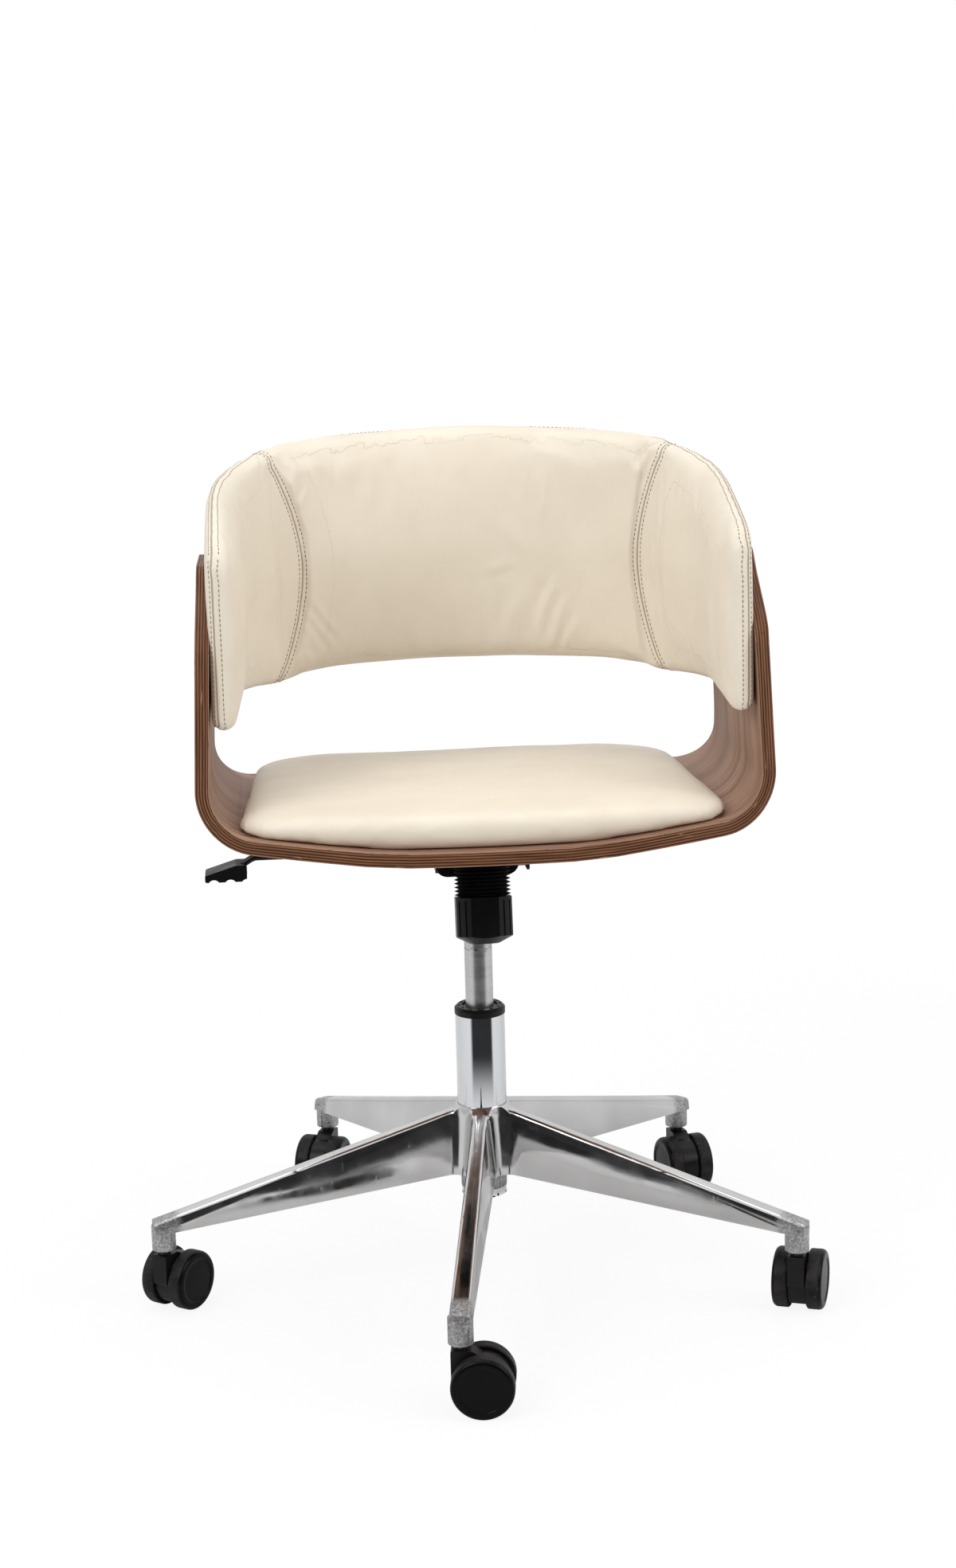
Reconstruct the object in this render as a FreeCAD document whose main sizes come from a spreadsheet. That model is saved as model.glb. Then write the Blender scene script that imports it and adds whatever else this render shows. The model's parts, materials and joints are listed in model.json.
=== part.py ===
import FreeCAD, Part
import math
import os
import re
import Sketcher

# Office chair: five-leg base on twin-wheel casters, gas lift, tilt mechanism,
# bent plywood seat shell and a horseshoe back pad.
# Frame: millimetres, +Z up, origin on the floor under the column, front towards -Y.

SIZES = {
    # clearances shared by every fit
    "running_gap": 0.08,
    "seating_gap": 0.2,
    "free_gap": 0.35,
    "cut_overrun": 5,
    # star base
    "leg_count": 5,
    "base_turn": 81.92,
    "caster_circle_radius": 331,
    "leg_end_reach": 10,
    "leg_root_reach": 40,
    "leg_root_width": 36,
    "leg_tip_width": 22,
    "leg_root_fillet": 10,
    "leg_draft_angle": 6.5,
    "leg_crest_fillet": 4,
    "leg_wall": 3.5,
    "leg_roof_thickness": 4.6,
    "leg_hollow_count": 3,
    "leg_rib_thickness": 3,
    "leg_hollow_start": 48,
    "leg_hollow_margin": 30,
    "hub_rise": 85.5,
    "hub_rim_radius": 31,
    "hub_collar_radius": 27,
    "hub_collar_rise": 4.5,
    "hub_depth": 66,
    "leg_tip_top_height": 97,
    "leg_tip_depth": 12.5,
    "socket_radius": 12,
    "socket_length": 24.5,
    "socket_overlap": 5,
    "socket_bore_depth": 25,
    # column and gas lift
    "column_radius": 25,
    "column_taper_radius": 23,
    "column_wall": 2.6,
    "column_foot_drop": 26,
    "column_length": 191,
    "column_plate": 3,
    "collar_radius": 25.6,
    "collar_height": 8,
    "collar_chamfer": 2.6,
    "collar_recess_width": 5,
    "collar_recess_depth": 1.5,
    "collar_notch_count": 12,
    "collar_notch_width": 3,
    "collar_notch_depth": 1,
    "collar_notch_inset": 1.25,
    "bush_length": 72,
    "cylinder_radius": 14,
    "cylinder_taper_radius": 13.6,
    "cylinder_length": 243,
    "cylinder_top_drop": 38.5,
    "cylinder_foot": 8,
    "cylinder_bore_radius": 12.4,
    "cylinder_bore_length": 124,
    "rod_radius": 5,
    "rod_foot": 4.5,
    "piston_rise": 1.5,
    "piston_height": 8,
    "rod_shoulder_radius": 9,
    "rod_shoulder_height": 3,
    "clip_radius": 8,
    "clip_thickness": 1.2,
    "clip_groove_depth": 1,
    "bearing_radius": 11,
    "bearing_height": 4,
    "button_radius": 3,
    "button_length": 11,
    "button_proud": 3.2,
    "button_travel": 3.3,
    # tilt mechanism
    "mech_width": 84,
    "mech_wall": 2.5,
    "mech_dish_drop": 35,
    "mech_dish_front": -17,
    "mech_dish_rear": 50,
    "mech_dish_radius": 13,
    "mech_rear_drop": 16,
    "mech_top_drop": 21,
    "mech_top_rear": -12,
    "mech_front": -92,
    "sleeve_radius": 19,
    "sleeve_drop": 9,
    "pivot_back": -27,
    "pivot_drop": 28,
    "pin_radius": 4,
    "pin_head_radius": 6.5,
    "pin_head_height": 2.5,
    "plate_width": 150,
    "plate_front": -105,
    "plate_rear": 105,
    "plate_thickness": 3,
    "flange_gap": 1,
    "flange_front": -100,
    "flange_rear": -14,
    "flange_depth": 36,
    "flange_thickness": 2.5,
    "strap_margin": 4,
    "strap_depth": 18,
    "strap_thickness": 3,
    # tension bolt, spring, bellows and knob, on an axis that leans to the front
    "tension_side": 2.5,
    "tension_back": -49,
    "tension_drop": 37,
    "tension_lean": 12,
    "bolt_radius": 4.5,
    "bolt_head_radius": 8,
    "bolt_head_height": 5,
    "bolt_head_room": 1.7,
    "bolt_in_knob": 31.15,
    "bolt_hole_radius": 7,
    "spring_radius": 16,
    "spring_wire_radius": 2.4,
    "spring_turns": 3,
    "spring_wire_sides": 6,
    "bellows_radius": 28,
    "bellows_root_radius": 23.5,
    "bellows_bore_radius": 20,
    "bellows_length": 30.2,
    "bellows_ribs": 8,
    "knob_side_count": 4,
    "knob_radius": 30.6,
    "knob_side_length": 38,
    "knob_dome_height": 8,
    "knob_dome_radius": 15,
    "knob_flat_depth": 3.2,
    "knob_groove_radius": 1.2,
    "knob_groove_turn": 8,
    # lift lever
    "lever_radius": 3.5,
    "lever_rise": 7.1,
    "lever_inner_reach": 5,
    "lever_bend_reach": 221,
    "lever_end_reach": 242,
    "lever_end_drop": 12.5,
    "lever_bend_radius": 14,
    "handle_length": 41.5,
    "handle_width": 28,
    "handle_height": 16.5,
    "handle_wall": 2.4,
    "handle_end_drop": 9.5,
    "handle_saddle_length": 11,
    "scallop_count": 3,
    "scallop_pitch": 16.4,
    "handle_corner_radius": 4,
    "handle_inner_reach": 228,
    "handle_drop": 4.6,
    "scallop_radius": 6,
    "scallop_depth": 2.6,
    # seat shell: one bent plywood band
    "seat_height": 483.5,
    "seat_recline": 3,
    "shell_thickness": 13,
    "shell_half_width": 272,
    "shell_flat_half_width": 95,
    "shell_corner_height": 17.7,
    "shell_lean_run": 11.1,
    "shell_top_height": 272,
    "shell_corner_radius": 57,
    "shell_bend_reach": 20,
    "shell_front": -250,
    "shell_rear": 180,
    "shell_front_radius": 735,
    "shell_front_sweep": 21.5,
    "arm_start_height": 72,
    "arm_front": -204,
    "arm_front_lean": 2.5,
    "arm_shoulder_height": 203,
    "arm_brow_back": -152,
    "arm_brow_height": 250,
    "arm_top_front": -134,
    "arm_top_rear": 20,
    "arm_rear": 91,
    "arm_rear_height": 134,
    "arm_foot_height": 23,
    "arm_foot_radius": 95,
    "arm_large_round": 50,
    "arm_small_round": 14,
    # seat cushion, its board and fasteners
    "cushion_half_width": 229,
    "cushion_rear_half_width": 212,
    "cushion_front": -239,
    "cushion_front_sweep": 15,
    "cushion_rear": 174,
    "cushion_front_round": 40,
    "cushion_rear_round": 70,
    "cushion_height": 38,
    "cushion_edge_round": 9,
    "board_half_width": 182,
    "board_front": -195,
    "board_rear": 140,
    "board_round": 45,
    "board_thickness": 8,
    "seat_bolt_radius": 3,
    "seat_bolt_length": 21,
    "seat_bolt_side": 62,
    "seat_bolt_front": -82,
    "seat_bolt_rear": 85,
    "bolt_socket_radius": 2.3,
    "bolt_socket_depth": 2,
    "bolt_cap_radius": 6,
    "bolt_cap_height": 3,
    "bolt_socket_sides": 6,
    # back pad and the panel inside it
    "pad_low_rise": 131.5,
    "pad_front_width": 170.5,
    "pad_rear_width": 238.5,
    "pad_top_bow": 6,
    "pad_side_inset": 18.5,
    "pad_turn_back": -60,
    "pad_front": -192,
    "pad_rear": 178,
    "pad_side_lean": -0.3,
    "pad_rear_lean": 4.5,
    "pad_thickness": 44,
    "pad_side_thickness": 32,
    "pad_crown": 6,
    "pad_crown_radius": 225,
    "pad_large_round": 15,
    "pad_small_round": 8,
    "pad_end_round": 5.6,
    "pad_side_bays": 2,
    "pad_turn_bays": 9,
    "pad_cover": 6,
    "panel_thickness": 10,
    "panel_margin": 26,
    "back_bolt_radius": 3,
    "back_bolt_length": 24,
    "back_bolt_front": -160,
    "back_bolt_rear": -92,
    "back_bolt_height": 208,
    # casters
    "wheel_radius": 30,
    "wheel_start": 8.7,
    "wheel_width": 16.3,
    "wheel_shoulder": 3,
    "wheel_shoulder_bow": 0.8,
    "wheel_inner_bevel": 1.5,
    "wheel_face_recess": 1.4,
    "wheel_face_radius": 21.5,
    "wheel_hub_radius": 7,
    "caster_trail": 20,
    "housing_width": 16.8,
    "housing_radius": 26.5,
    "housing_ground_gap": 9,
    "housing_neck_front": 9.5,
    "housing_neck_gap": 5.5,
    "housing_round": 4,
    "axle_radius": 4,
    "axle_half_length": 19,
    "neck_radius": 6.5,
    "stem_radius": 5.5,
    "stem_length": 22,
    "stem_bevel": 1,
    "stem_neck_length": 23.5,
    "front_caster_turn": -6.5,
    "right_caster_turn": 70.1,
    "rear_right_caster_turn": -76.1,
    "rear_left_caster_turn": -109.3,
    "left_caster_turn": 54.5,
}

WORKED_OUT = {
    # heights over the floor and a few lengths that follow from the sizes above
    "leg_tip_bottom_height": "leg_tip_top_height - leg_tip_depth",
    "hub_top_height": "leg_tip_top_height + hub_rise",
    "hub_collar_height": "hub_top_height + hub_collar_rise",
    "hub_bottom_height": "hub_top_height - hub_depth",
    "socket_root_height": "leg_tip_top_height - socket_overlap",
    "socket_bottom_height": "socket_root_height - socket_length",
    "stem_foot_height": "socket_bottom_height - stem_neck_length",
    "housing_neck_height": "socket_bottom_height - housing_neck_gap",
    "column_bottom_height": "hub_bottom_height - column_foot_drop",
    "column_top_height": "column_bottom_height + column_length",
    "rod_bottom_height": "column_bottom_height - rod_foot",
    "cylinder_top_height": "seat_height - cylinder_top_drop",
    "cylinder_bottom_height": "cylinder_top_height - cylinder_length",
    "piston_bottom_height": "cylinder_bottom_height + cylinder_foot + piston_rise",
    "mech_top_height": "seat_height - mech_top_drop",
    "mech_rear_top_height": "mech_top_height - mech_rear_drop",
    "mech_dish_bottom_height": "mech_top_height - mech_dish_drop",
    "sleeve_bottom_height": "mech_dish_bottom_height - sleeve_drop",
    "pivot_height": "seat_height - pivot_drop",
    "tension_height": "seat_height - tension_drop",
    "bolt_top": "tension_drop - plate_thickness - bolt_head_height - bolt_head_room",
    "bolt_length": "bolt_top + bellows_length + free_gap + bolt_in_knob",
    "lever_height": "cylinder_top_height + lever_rise",
    "handle_top_height": "lever_height - handle_drop",
    "pad_half_width": "shell_half_width - pad_side_inset",
    "pad_low_height": "seat_height + pad_low_rise",
    "pad_front_top_height": "pad_low_height + pad_front_width",
    "pad_rear_top_height": "pad_low_height + pad_rear_width",
}

doc = FreeCAD.newDocument("office_chair")
sheet = doc.addObject("Spreadsheet::Sheet", "Sizes")
for row, alias in enumerate([*SIZES, *WORKED_OUT], start=1):
    sheet.set(f"A{row}", alias)
    sheet.setAlias(f"B{row}", alias)
    sheet.set(f"B{row}", str(SIZES[alias]) if alias in SIZES else "=" + WORKED_OUT[alias])
doc.recompute()

FULL_TURN = 360
HALF_TURN = 180
ALIAS = re.compile(r"\b[a-z]+(?:_[a-z]+)+\b")


def bound(text):
    """The expression with each size read from the sheet."""
    return ALIAS.sub(lambda found: "Sizes." + found.group(), text)


def size(text):
    """The number that an expression of sizes gives."""
    return float(sheet.evalExpression(bound(text)))


def new_body(label):
    body = doc.addObject("PartDesign::Body", label)
    body.Label = label
    return body


def plane_of(body, role):
    return next(item for item in body.Origin.OriginFeatures if item.Role == role)


def new_sketch(body, name, role, offset="0"):
    """A sketch on one of the body's own planes, moved along its normal."""
    sketch = body.newObject("Sketcher::SketchObject", name)
    sketch.AttachmentSupport = [(plane_of(body, role), "")]
    sketch.MapMode = "FlatFace"
    if offset != "0":
        sketch.setExpression(".AttachmentOffset.Base.z", bound(offset))
        sketch.AttachmentOffset = FreeCAD.Placement(
            FreeCAD.Vector(0, 0, size(offset)), FreeCAD.Rotation())
    return sketch


def pin_point(sketch, geometry, position, across, up):
    """Hold a sketch point at two bound distances from the origin."""
    for kind, axis, text in (("DistanceX", -2, across), ("DistanceY", -1, up)):
        if size(text) == 0:
            sketch.addConstraint(Sketcher.Constraint(
                "PointOnObject", geometry, position, axis))
            continue
        index = sketch.addConstraint(Sketcher.Constraint(
            kind, -1, 1, geometry, position, size(text)))
        sketch.setExpression(f"Constraints[{index}]", bound(text))


def add_arc(sketch, centre, radius, start, end):
    """An arc of less than a half turn, with the numbers of its start and end points."""
    from_centre = start - centre
    to_centre = end - centre
    turns_left = from_centre.cross(to_centre).z > 0
    first, last = (from_centre, to_centre) if turns_left else (to_centre, from_centre)
    first_angle = math.atan2(first.y, first.x)
    last_angle = math.atan2(last.y, last.x)
    if last_angle < first_angle:
        last_angle += 2 * math.pi
    circle = Part.Circle(centre, FreeCAD.Vector(0, 0, 1), radius)
    arc = sketch.addGeometry(Part.ArcOfCircle(circle, first_angle, last_angle))
    return (arc, 1, 2) if turns_left else (arc, 2, 1)


def add_outline(sketch, corners):
    """A closed outline. A corner is (across, up) or (across, up, radius), as expressions."""
    spots = [FreeCAD.Vector(size(corner[0]), size(corner[1]), 0) for corner in corners]
    count = len(corners)
    starts = []
    ends = []
    rounds = []
    for index, corner in enumerate(corners):
        here = spots[index]
        before = spots[index - 1] - here
        after = spots[(index + 1) % count] - here
        if len(corner) == 2:
            starts.append(here)
            ends.append(here)
            rounds.append(None)
            continue
        radius = size(corner[2])
        half = before.getAngle(after) / 2
        reach = radius / math.tan(half)
        first = here + FreeCAD.Vector(before).normalize() * reach
        last = here + FreeCAD.Vector(after).normalize() * reach
        middle_way = (FreeCAD.Vector(before).normalize() + FreeCAD.Vector(after).normalize())
        centre = here + middle_way.normalize() * (radius / math.sin(half))
        ends.append(first)
        starts.append(last)
        rounds.append((centre, radius, corner[2]))
    lines = []
    for index in range(count):
        following = (index + 1) % count
        lines.append(sketch.addGeometry(Part.LineSegment(starts[index], ends[following])))
    for index, corner in enumerate(corners):
        arriving = lines[index - 1]
        leaving = lines[index]
        if rounds[index] is None:
            sketch.addConstraint(Sketcher.Constraint("Coincident", arriving, 2, leaving, 1))
            pin_point(sketch, leaving, 1, corner[0], corner[1])
            continue
        centre, radius, radius_text = rounds[index]
        arc, first, last = add_arc(sketch, centre, radius, ends[index], starts[index])
        sketch.addConstraint(Sketcher.Constraint("Tangent", arriving, 2, arc, first))
        sketch.addConstraint(Sketcher.Constraint("Tangent", arc, last, leaving, 1))
        mark = sketch.addConstraint(Sketcher.Constraint("Radius", arc, radius))
        sketch.setExpression(f"Constraints[{mark}]", bound(radius_text))
        corner_point = sketch.addGeometry(Part.Point(spots[index]), True)
        sketch.addConstraint(Sketcher.Constraint("PointOnObject", corner_point, 1, arriving))
        sketch.addConstraint(Sketcher.Constraint("PointOnObject", corner_point, 1, leaving))
        pin_point(sketch, corner_point, 1, corner[0], corner[1])
    return sketch


def add_circle(sketch, across, up, radius):
    centre = FreeCAD.Vector(size(across), size(up), 0)
    circle = sketch.addGeometry(Part.Circle(centre, FreeCAD.Vector(0, 0, 1), size(radius)))
    index = sketch.addConstraint(Sketcher.Constraint("Radius", circle, size(radius)))
    sketch.setExpression(f"Constraints[{index}]", bound(radius))
    pin_point(sketch, circle, 3, across, up)
    return sketch


def extrude(body, kind, name, sketch, length, both_ways=False, reverse=False, taper=None):
    feature = body.newObject("PartDesign::" + kind, name)
    feature.Profile = sketch
    feature.Length = size(length)
    feature.setExpression("Length", bound(length))
    feature.SideType = "Symmetric" if both_ways else "One side"
    feature.Reversed = reverse
    if taper is not None:
        feature.setExpression("TaperAngle", bound(taper))
    return feature


def revolve(body, kind, name, sketch, axis="V_Axis"):
    feature = body.newObject("PartDesign::" + kind, name)
    feature.Profile = sketch
    feature.ReferenceAxis = (sketch, [axis])
    feature.Angle = FULL_TURN
    return feature


def around(body, name, originals, count, sketch):
    """Repeat features evenly about the body's Z axis."""
    pattern = body.newObject("PartDesign::PolarPattern", name)
    pattern.Originals = originals
    pattern.Axis = (sketch, ["N_Axis"])
    pattern.Angle = FULL_TURN
    pattern.setExpression("Occurrences", bound(count))
    body.Tip = pattern
    return pattern


def soften(body, name, chosen, radius, kind="Fillet"):
    """Round or bevel those edges of the body's last feature that the test picks."""
    doc.recompute()
    base = body.Tip
    names = [f"Edge{number}" for number, edge in enumerate(base.Shape.Edges, start=1)
             if chosen(edge)]
    feature = body.newObject("PartDesign::" + kind, name)
    feature.Base = (base, names)
    feature.setExpression("Radius" if kind == "Fillet" else "Size", bound(radius))
    return feature


def drill(body, name, radius, height):
    """A round cut along its own Z axis, to be placed by the caller."""
    cut = body.newObject("PartDesign::SubtractiveCylinder", name)
    cut.setExpression("Radius", bound(radius))
    cut.setExpression("Height", bound(height))
    return cut


def turned_body(label, corners):
    """A body of revolution about Z from its half outline in radius and height."""
    body = new_body(label)
    sketch = add_outline(new_sketch(body, label + "_outline", "XZ_Plane"), corners)
    revolve(body, "Revolution", label + "_turned", sketch)
    return body


def place(item, base=("0", "0", "0"), axis=(0, 0, 1), angle="0"):
    """Bind an object's place and turn to sizes."""
    item.Placement = FreeCAD.Placement(
        FreeCAD.Vector(*[size(part) for part in base]),
        FreeCAD.Rotation(FreeCAD.Vector(*axis), size(angle)))
    for direction, part in zip("xyz", base):
        if part != "0":
            item.setExpression(".Placement.Base." + direction, bound(part))
    if angle != "0":
        item.setExpression(".Placement.Rotation.Angle", bound(angle))


def new_feature(label, shape):
    feature = doc.addObject("Part::Feature", label)
    feature.Label = label
    feature.Shape = shape
    return feature


# Star base

LEG_END = "(caster_circle_radius + leg_end_reach)"
HALF_STEP = f"({HALF_TURN} deg / leg_count)"
CREST_SLOPE = f"((hub_top_height - leg_tip_top_height) / ({LEG_END} - hub_rim_radius))"
UNDER_SLOPE = f"((hub_bottom_height - leg_tip_bottom_height) / ({LEG_END} - leg_root_reach))"
BORE_TOP = "(column_radius + seating_gap)"
BORE_FOOT = ("(column_taper_radius + seating_gap + (column_radius - column_taper_radius)"
             " * (hub_bottom_height - column_bottom_height)"
             " / (hub_collar_height - column_bottom_height))")


def crest_height(reach):
    return f"(hub_top_height - (({reach}) - hub_rim_radius) * {CREST_SLOPE})"


def leg_half_width(reach, height):
    """Half the width of a leg at a distance from the axis and a height."""
    share = f"(({LEG_END} - ({reach})) / ({LEG_END} - leg_root_reach))"
    width = f"(leg_tip_width + (leg_root_width - leg_tip_width) * {share})"
    return f"({width} / 2 - (({height}) - leg_tip_bottom_height) * tan(leg_draft_angle * 1 deg))"


def flank_point(reach, width):
    """A point of a leg's flank, where the gap between two legs lies on the X axis."""
    across = f"({reach} * cos({HALF_STEP}) + {width} / 2 * sin({HALF_STEP}))"
    up = f"({reach} * sin({HALF_STEP}) - {width} / 2 * cos({HALF_STEP}))"
    return across, up


def build_star_base():
    body = turned_body("star_base", [
        (BORE_FOOT, "hub_bottom_height"),
        ("leg_root_reach", "hub_bottom_height"),
        (LEG_END, "leg_tip_bottom_height"),
        (LEG_END, "leg_tip_top_height"),
        ("hub_rim_radius", "hub_top_height"),
        ("hub_collar_radius", "hub_collar_height"),
        (BORE_TOP, "hub_collar_height"),
    ])
    root_x, root_y = flank_point("leg_root_reach", "leg_root_width")
    tip_x, tip_y = flank_point(LEG_END, "leg_tip_width")
    corner = f"({root_x} - {root_y} * ({tip_x} - {root_x}) / ({tip_y} - {root_y}))"
    gap_sketch = new_sketch(body, "leg_gap_outline", "XY_Plane", "leg_tip_bottom_height")
    add_outline(gap_sketch, [
        (corner, "0", "leg_root_fillet"),
        (tip_x, f"-{tip_y}"),
        (f"{LEG_END} + cut_overrun", f"-{tip_y}"),
        (f"{LEG_END} + cut_overrun", tip_y),
        (tip_x, tip_y),
    ])
    gap = extrude(body, "Pocket", "leg_gap", gap_sketch, "hub_top_height",
                  reverse=True, taper="leg_draft_angle")
    around(body, "leg_gaps", [gap], "leg_count", gap_sketch)

    def on_crest(edge):
        low, high = edge.BoundBox.ZMin, edge.BoundBox.ZMax
        spot = edge.valueAt((edge.FirstParameter + edge.LastParameter) / 2)
        reach = math.hypot(spot.x, spot.y)
        crest = size(crest_height(str(reach)))
        outside = reach > size("hub_rim_radius") and high > size("leg_tip_top_height")
        return outside and abs(spot.z - crest) < size("running_gap") and high - low > size("leg_crest_fillet")

    soften(body, "leg_crests", on_crest, "leg_crest_fillet")

    reaches = []
    start = "leg_hollow_start"
    span = f"({LEG_END} - leg_hollow_margin - leg_hollow_start)"
    for number in range(int(size("leg_hollow_count"))):
        near = f"({start} + {span} * {number} / leg_hollow_count + leg_rib_thickness / 2)"
        far = f"({start} + {span} * {number + 1} / leg_hollow_count - leg_rib_thickness / 2)"
        reaches.append((near, far))
    hollows = []
    for number, (near, far) in enumerate(reaches, start=1):
        sections = []
        for side, reach in (("near", near), ("far", far)):
            roof = f"({crest_height(reach)} - leg_roof_thickness)"
            floor = "(leg_tip_bottom_height - cut_overrun)"
            sketch = new_sketch(body, f"hollow_{side}_{number}", "YZ_Plane", f"-{reach}")
            low_half = f"({leg_half_width(reach, floor)} - leg_wall)"
            high_half = f"({leg_half_width(reach, roof)} - leg_wall)"
            add_outline(sketch, [
                (f"-{low_half}", floor), (low_half, floor),
                (high_half, roof), (f"-{high_half}", roof)])
            sections.append(sketch)
        hollow = body.newObject("PartDesign::SubtractiveLoft", f"leg_hollow_{number}")
        hollow.Profile = sections[0]
        hollow.Sections = [sections[1]]
        hollow.Ruled = True
        hollows.append(hollow)
    around(body, "leg_hollows", hollows, "leg_count", gap_sketch)

    boss_sketch = new_sketch(body, "socket_outline", "XY_Plane", "socket_bottom_height")
    add_circle(boss_sketch, "-caster_circle_radius", "0", "socket_radius")
    boss = extrude(body, "Pad", "socket", boss_sketch, "socket_root_height - socket_bottom_height")
    around(body, "sockets", [boss], "leg_count", gap_sketch)
    bore_sketch = new_sketch(body, "socket_bore_outline", "XY_Plane", "socket_bottom_height")
    add_circle(bore_sketch, "-caster_circle_radius", "0", "stem_radius + running_gap")
    bore = extrude(body, "Pocket", "socket_bore", bore_sketch, "socket_bore_depth", reverse=True)
    around(body, "socket_bores", [bore], "leg_count", gap_sketch)
    place(body, angle="base_turn")


# Column, guide bush and gas lift

def build_column():
    inside = "(column_radius - column_wall)"
    turned_body("column_tube", [
        ("rod_radius + running_gap", "column_bottom_height"),
        ("column_taper_radius", "column_bottom_height"),
        ("column_radius", "hub_collar_height"),
        ("column_radius", "column_top_height"),
        (inside, "column_top_height"),
        (inside, "column_bottom_height + column_plate"),
        ("rod_radius + running_gap", "column_bottom_height + column_plate"),
    ])
    collar_top = "column_top_height + collar_height"
    ledge = "collar_radius - collar_chamfer - collar_recess_width"
    bush = turned_body("guide_bush", [
        ("cylinder_radius + running_gap", "column_top_height - bush_length"),
        (f"{inside} - seating_gap", "column_top_height - bush_length"),
        (f"{inside} - seating_gap", "column_top_height"),
        ("collar_radius", "column_top_height"),
        ("collar_radius", f"{collar_top} - collar_chamfer"),
        ("collar_radius - collar_chamfer", collar_top),
        (ledge, collar_top),
        (ledge, f"{collar_top} - collar_recess_depth"),
        ("cylinder_radius + running_gap", f"{collar_top} - collar_recess_depth"),
    ])
    notch_sketch = new_sketch(bush, "notch_outline", "XY_Plane", collar_top)
    inner = f"{ledge} + collar_notch_inset"
    outer = f"{ledge} + collar_recess_width - collar_notch_inset"
    add_outline(notch_sketch, [
        (inner, "-collar_notch_width / 2"), (outer, "-collar_notch_width / 2"),
        (outer, "collar_notch_width / 2"), (inner, "collar_notch_width / 2")])
    notch = extrude(bush, "Pocket", "notch", notch_sketch, "collar_notch_depth")
    around(bush, "notches", [notch], "collar_notch_count", notch_sketch)


def build_gas_lift():
    chamber_low = "cylinder_bottom_height + cylinder_foot"
    chamber_high = "cylinder_bottom_height + cylinder_foot + cylinder_bore_length"
    button_hole = "cylinder_top_height - button_length - button_travel"
    turned_body("gas_cylinder", [
        ("rod_radius + running_gap", "cylinder_bottom_height"),
        ("cylinder_radius", "cylinder_bottom_height"),
        ("cylinder_radius", "sleeve_bottom_height"),
        ("cylinder_taper_radius", "cylinder_top_height"),
        ("button_radius + running_gap", "cylinder_top_height"),
        ("button_radius + running_gap", button_hole),
        ("0", button_hole),
        ("0", chamber_high),
        ("cylinder_bore_radius", chamber_high),
        ("cylinder_bore_radius", chamber_low),
        ("rod_radius + running_gap", chamber_low),
    ])
    shoulder = "(column_bottom_height + column_plate + bearing_height + seating_gap)"
    groove_top = "(column_bottom_height - seating_gap)"
    groove_low = f"({groove_top} - clip_thickness - 2 * running_gap)"
    turned_body("piston_rod", [
        ("0", "rod_bottom_height"),
        ("rod_radius", "rod_bottom_height"),
        ("rod_radius", groove_low),
        ("rod_radius - clip_groove_depth", groove_low),
        ("rod_radius - clip_groove_depth", groove_top),
        ("rod_radius", groove_top),
        ("rod_radius", shoulder),
        ("rod_shoulder_radius", shoulder),
        ("rod_shoulder_radius", f"{shoulder} + rod_shoulder_height"),
        ("rod_radius", f"{shoulder} + rod_shoulder_height"),
        ("rod_radius", "piston_bottom_height"),
        ("cylinder_bore_radius - running_gap", "piston_bottom_height"),
        ("cylinder_bore_radius - running_gap", "piston_bottom_height + piston_height"),
        ("0", "piston_bottom_height + piston_height"),
    ])
    turned_body("retaining_clip", [
        ("rod_radius - clip_groove_depth + running_gap", f"{groove_low} + running_gap"),
        ("clip_radius", f"{groove_low} + running_gap"),
        ("clip_radius", f"{groove_top} - running_gap"),
        ("rod_radius - clip_groove_depth + running_gap", f"{groove_top} - running_gap"),
    ])
    plate_top = "column_bottom_height + column_plate"
    turned_body("thrust_bearing", [
        ("rod_radius + running_gap", plate_top),
        ("bearing_radius", plate_top),
        ("bearing_radius", f"{plate_top} + bearing_height"),
        ("rod_radius + running_gap", f"{plate_top} + bearing_height"),
    ])
    turned_body("valve_button", [
        ("0", "cylinder_top_height + button_proud - button_length"),
        ("button_radius", "cylinder_top_height + button_proud - button_length"),
        ("button_radius", "cylinder_top_height + button_proud"),
        ("0", "cylinder_top_height + button_proud"),
    ])


# Tilt mechanism

FLOOR_SLOPE = "tan(tension_lean * 1 deg)"


def tray_floor(back):
    """Height of the front tray's underside, square to the tension axis."""
    return f"(tension_height - (({back}) - tension_back) * {FLOOR_SLOPE})"


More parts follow.
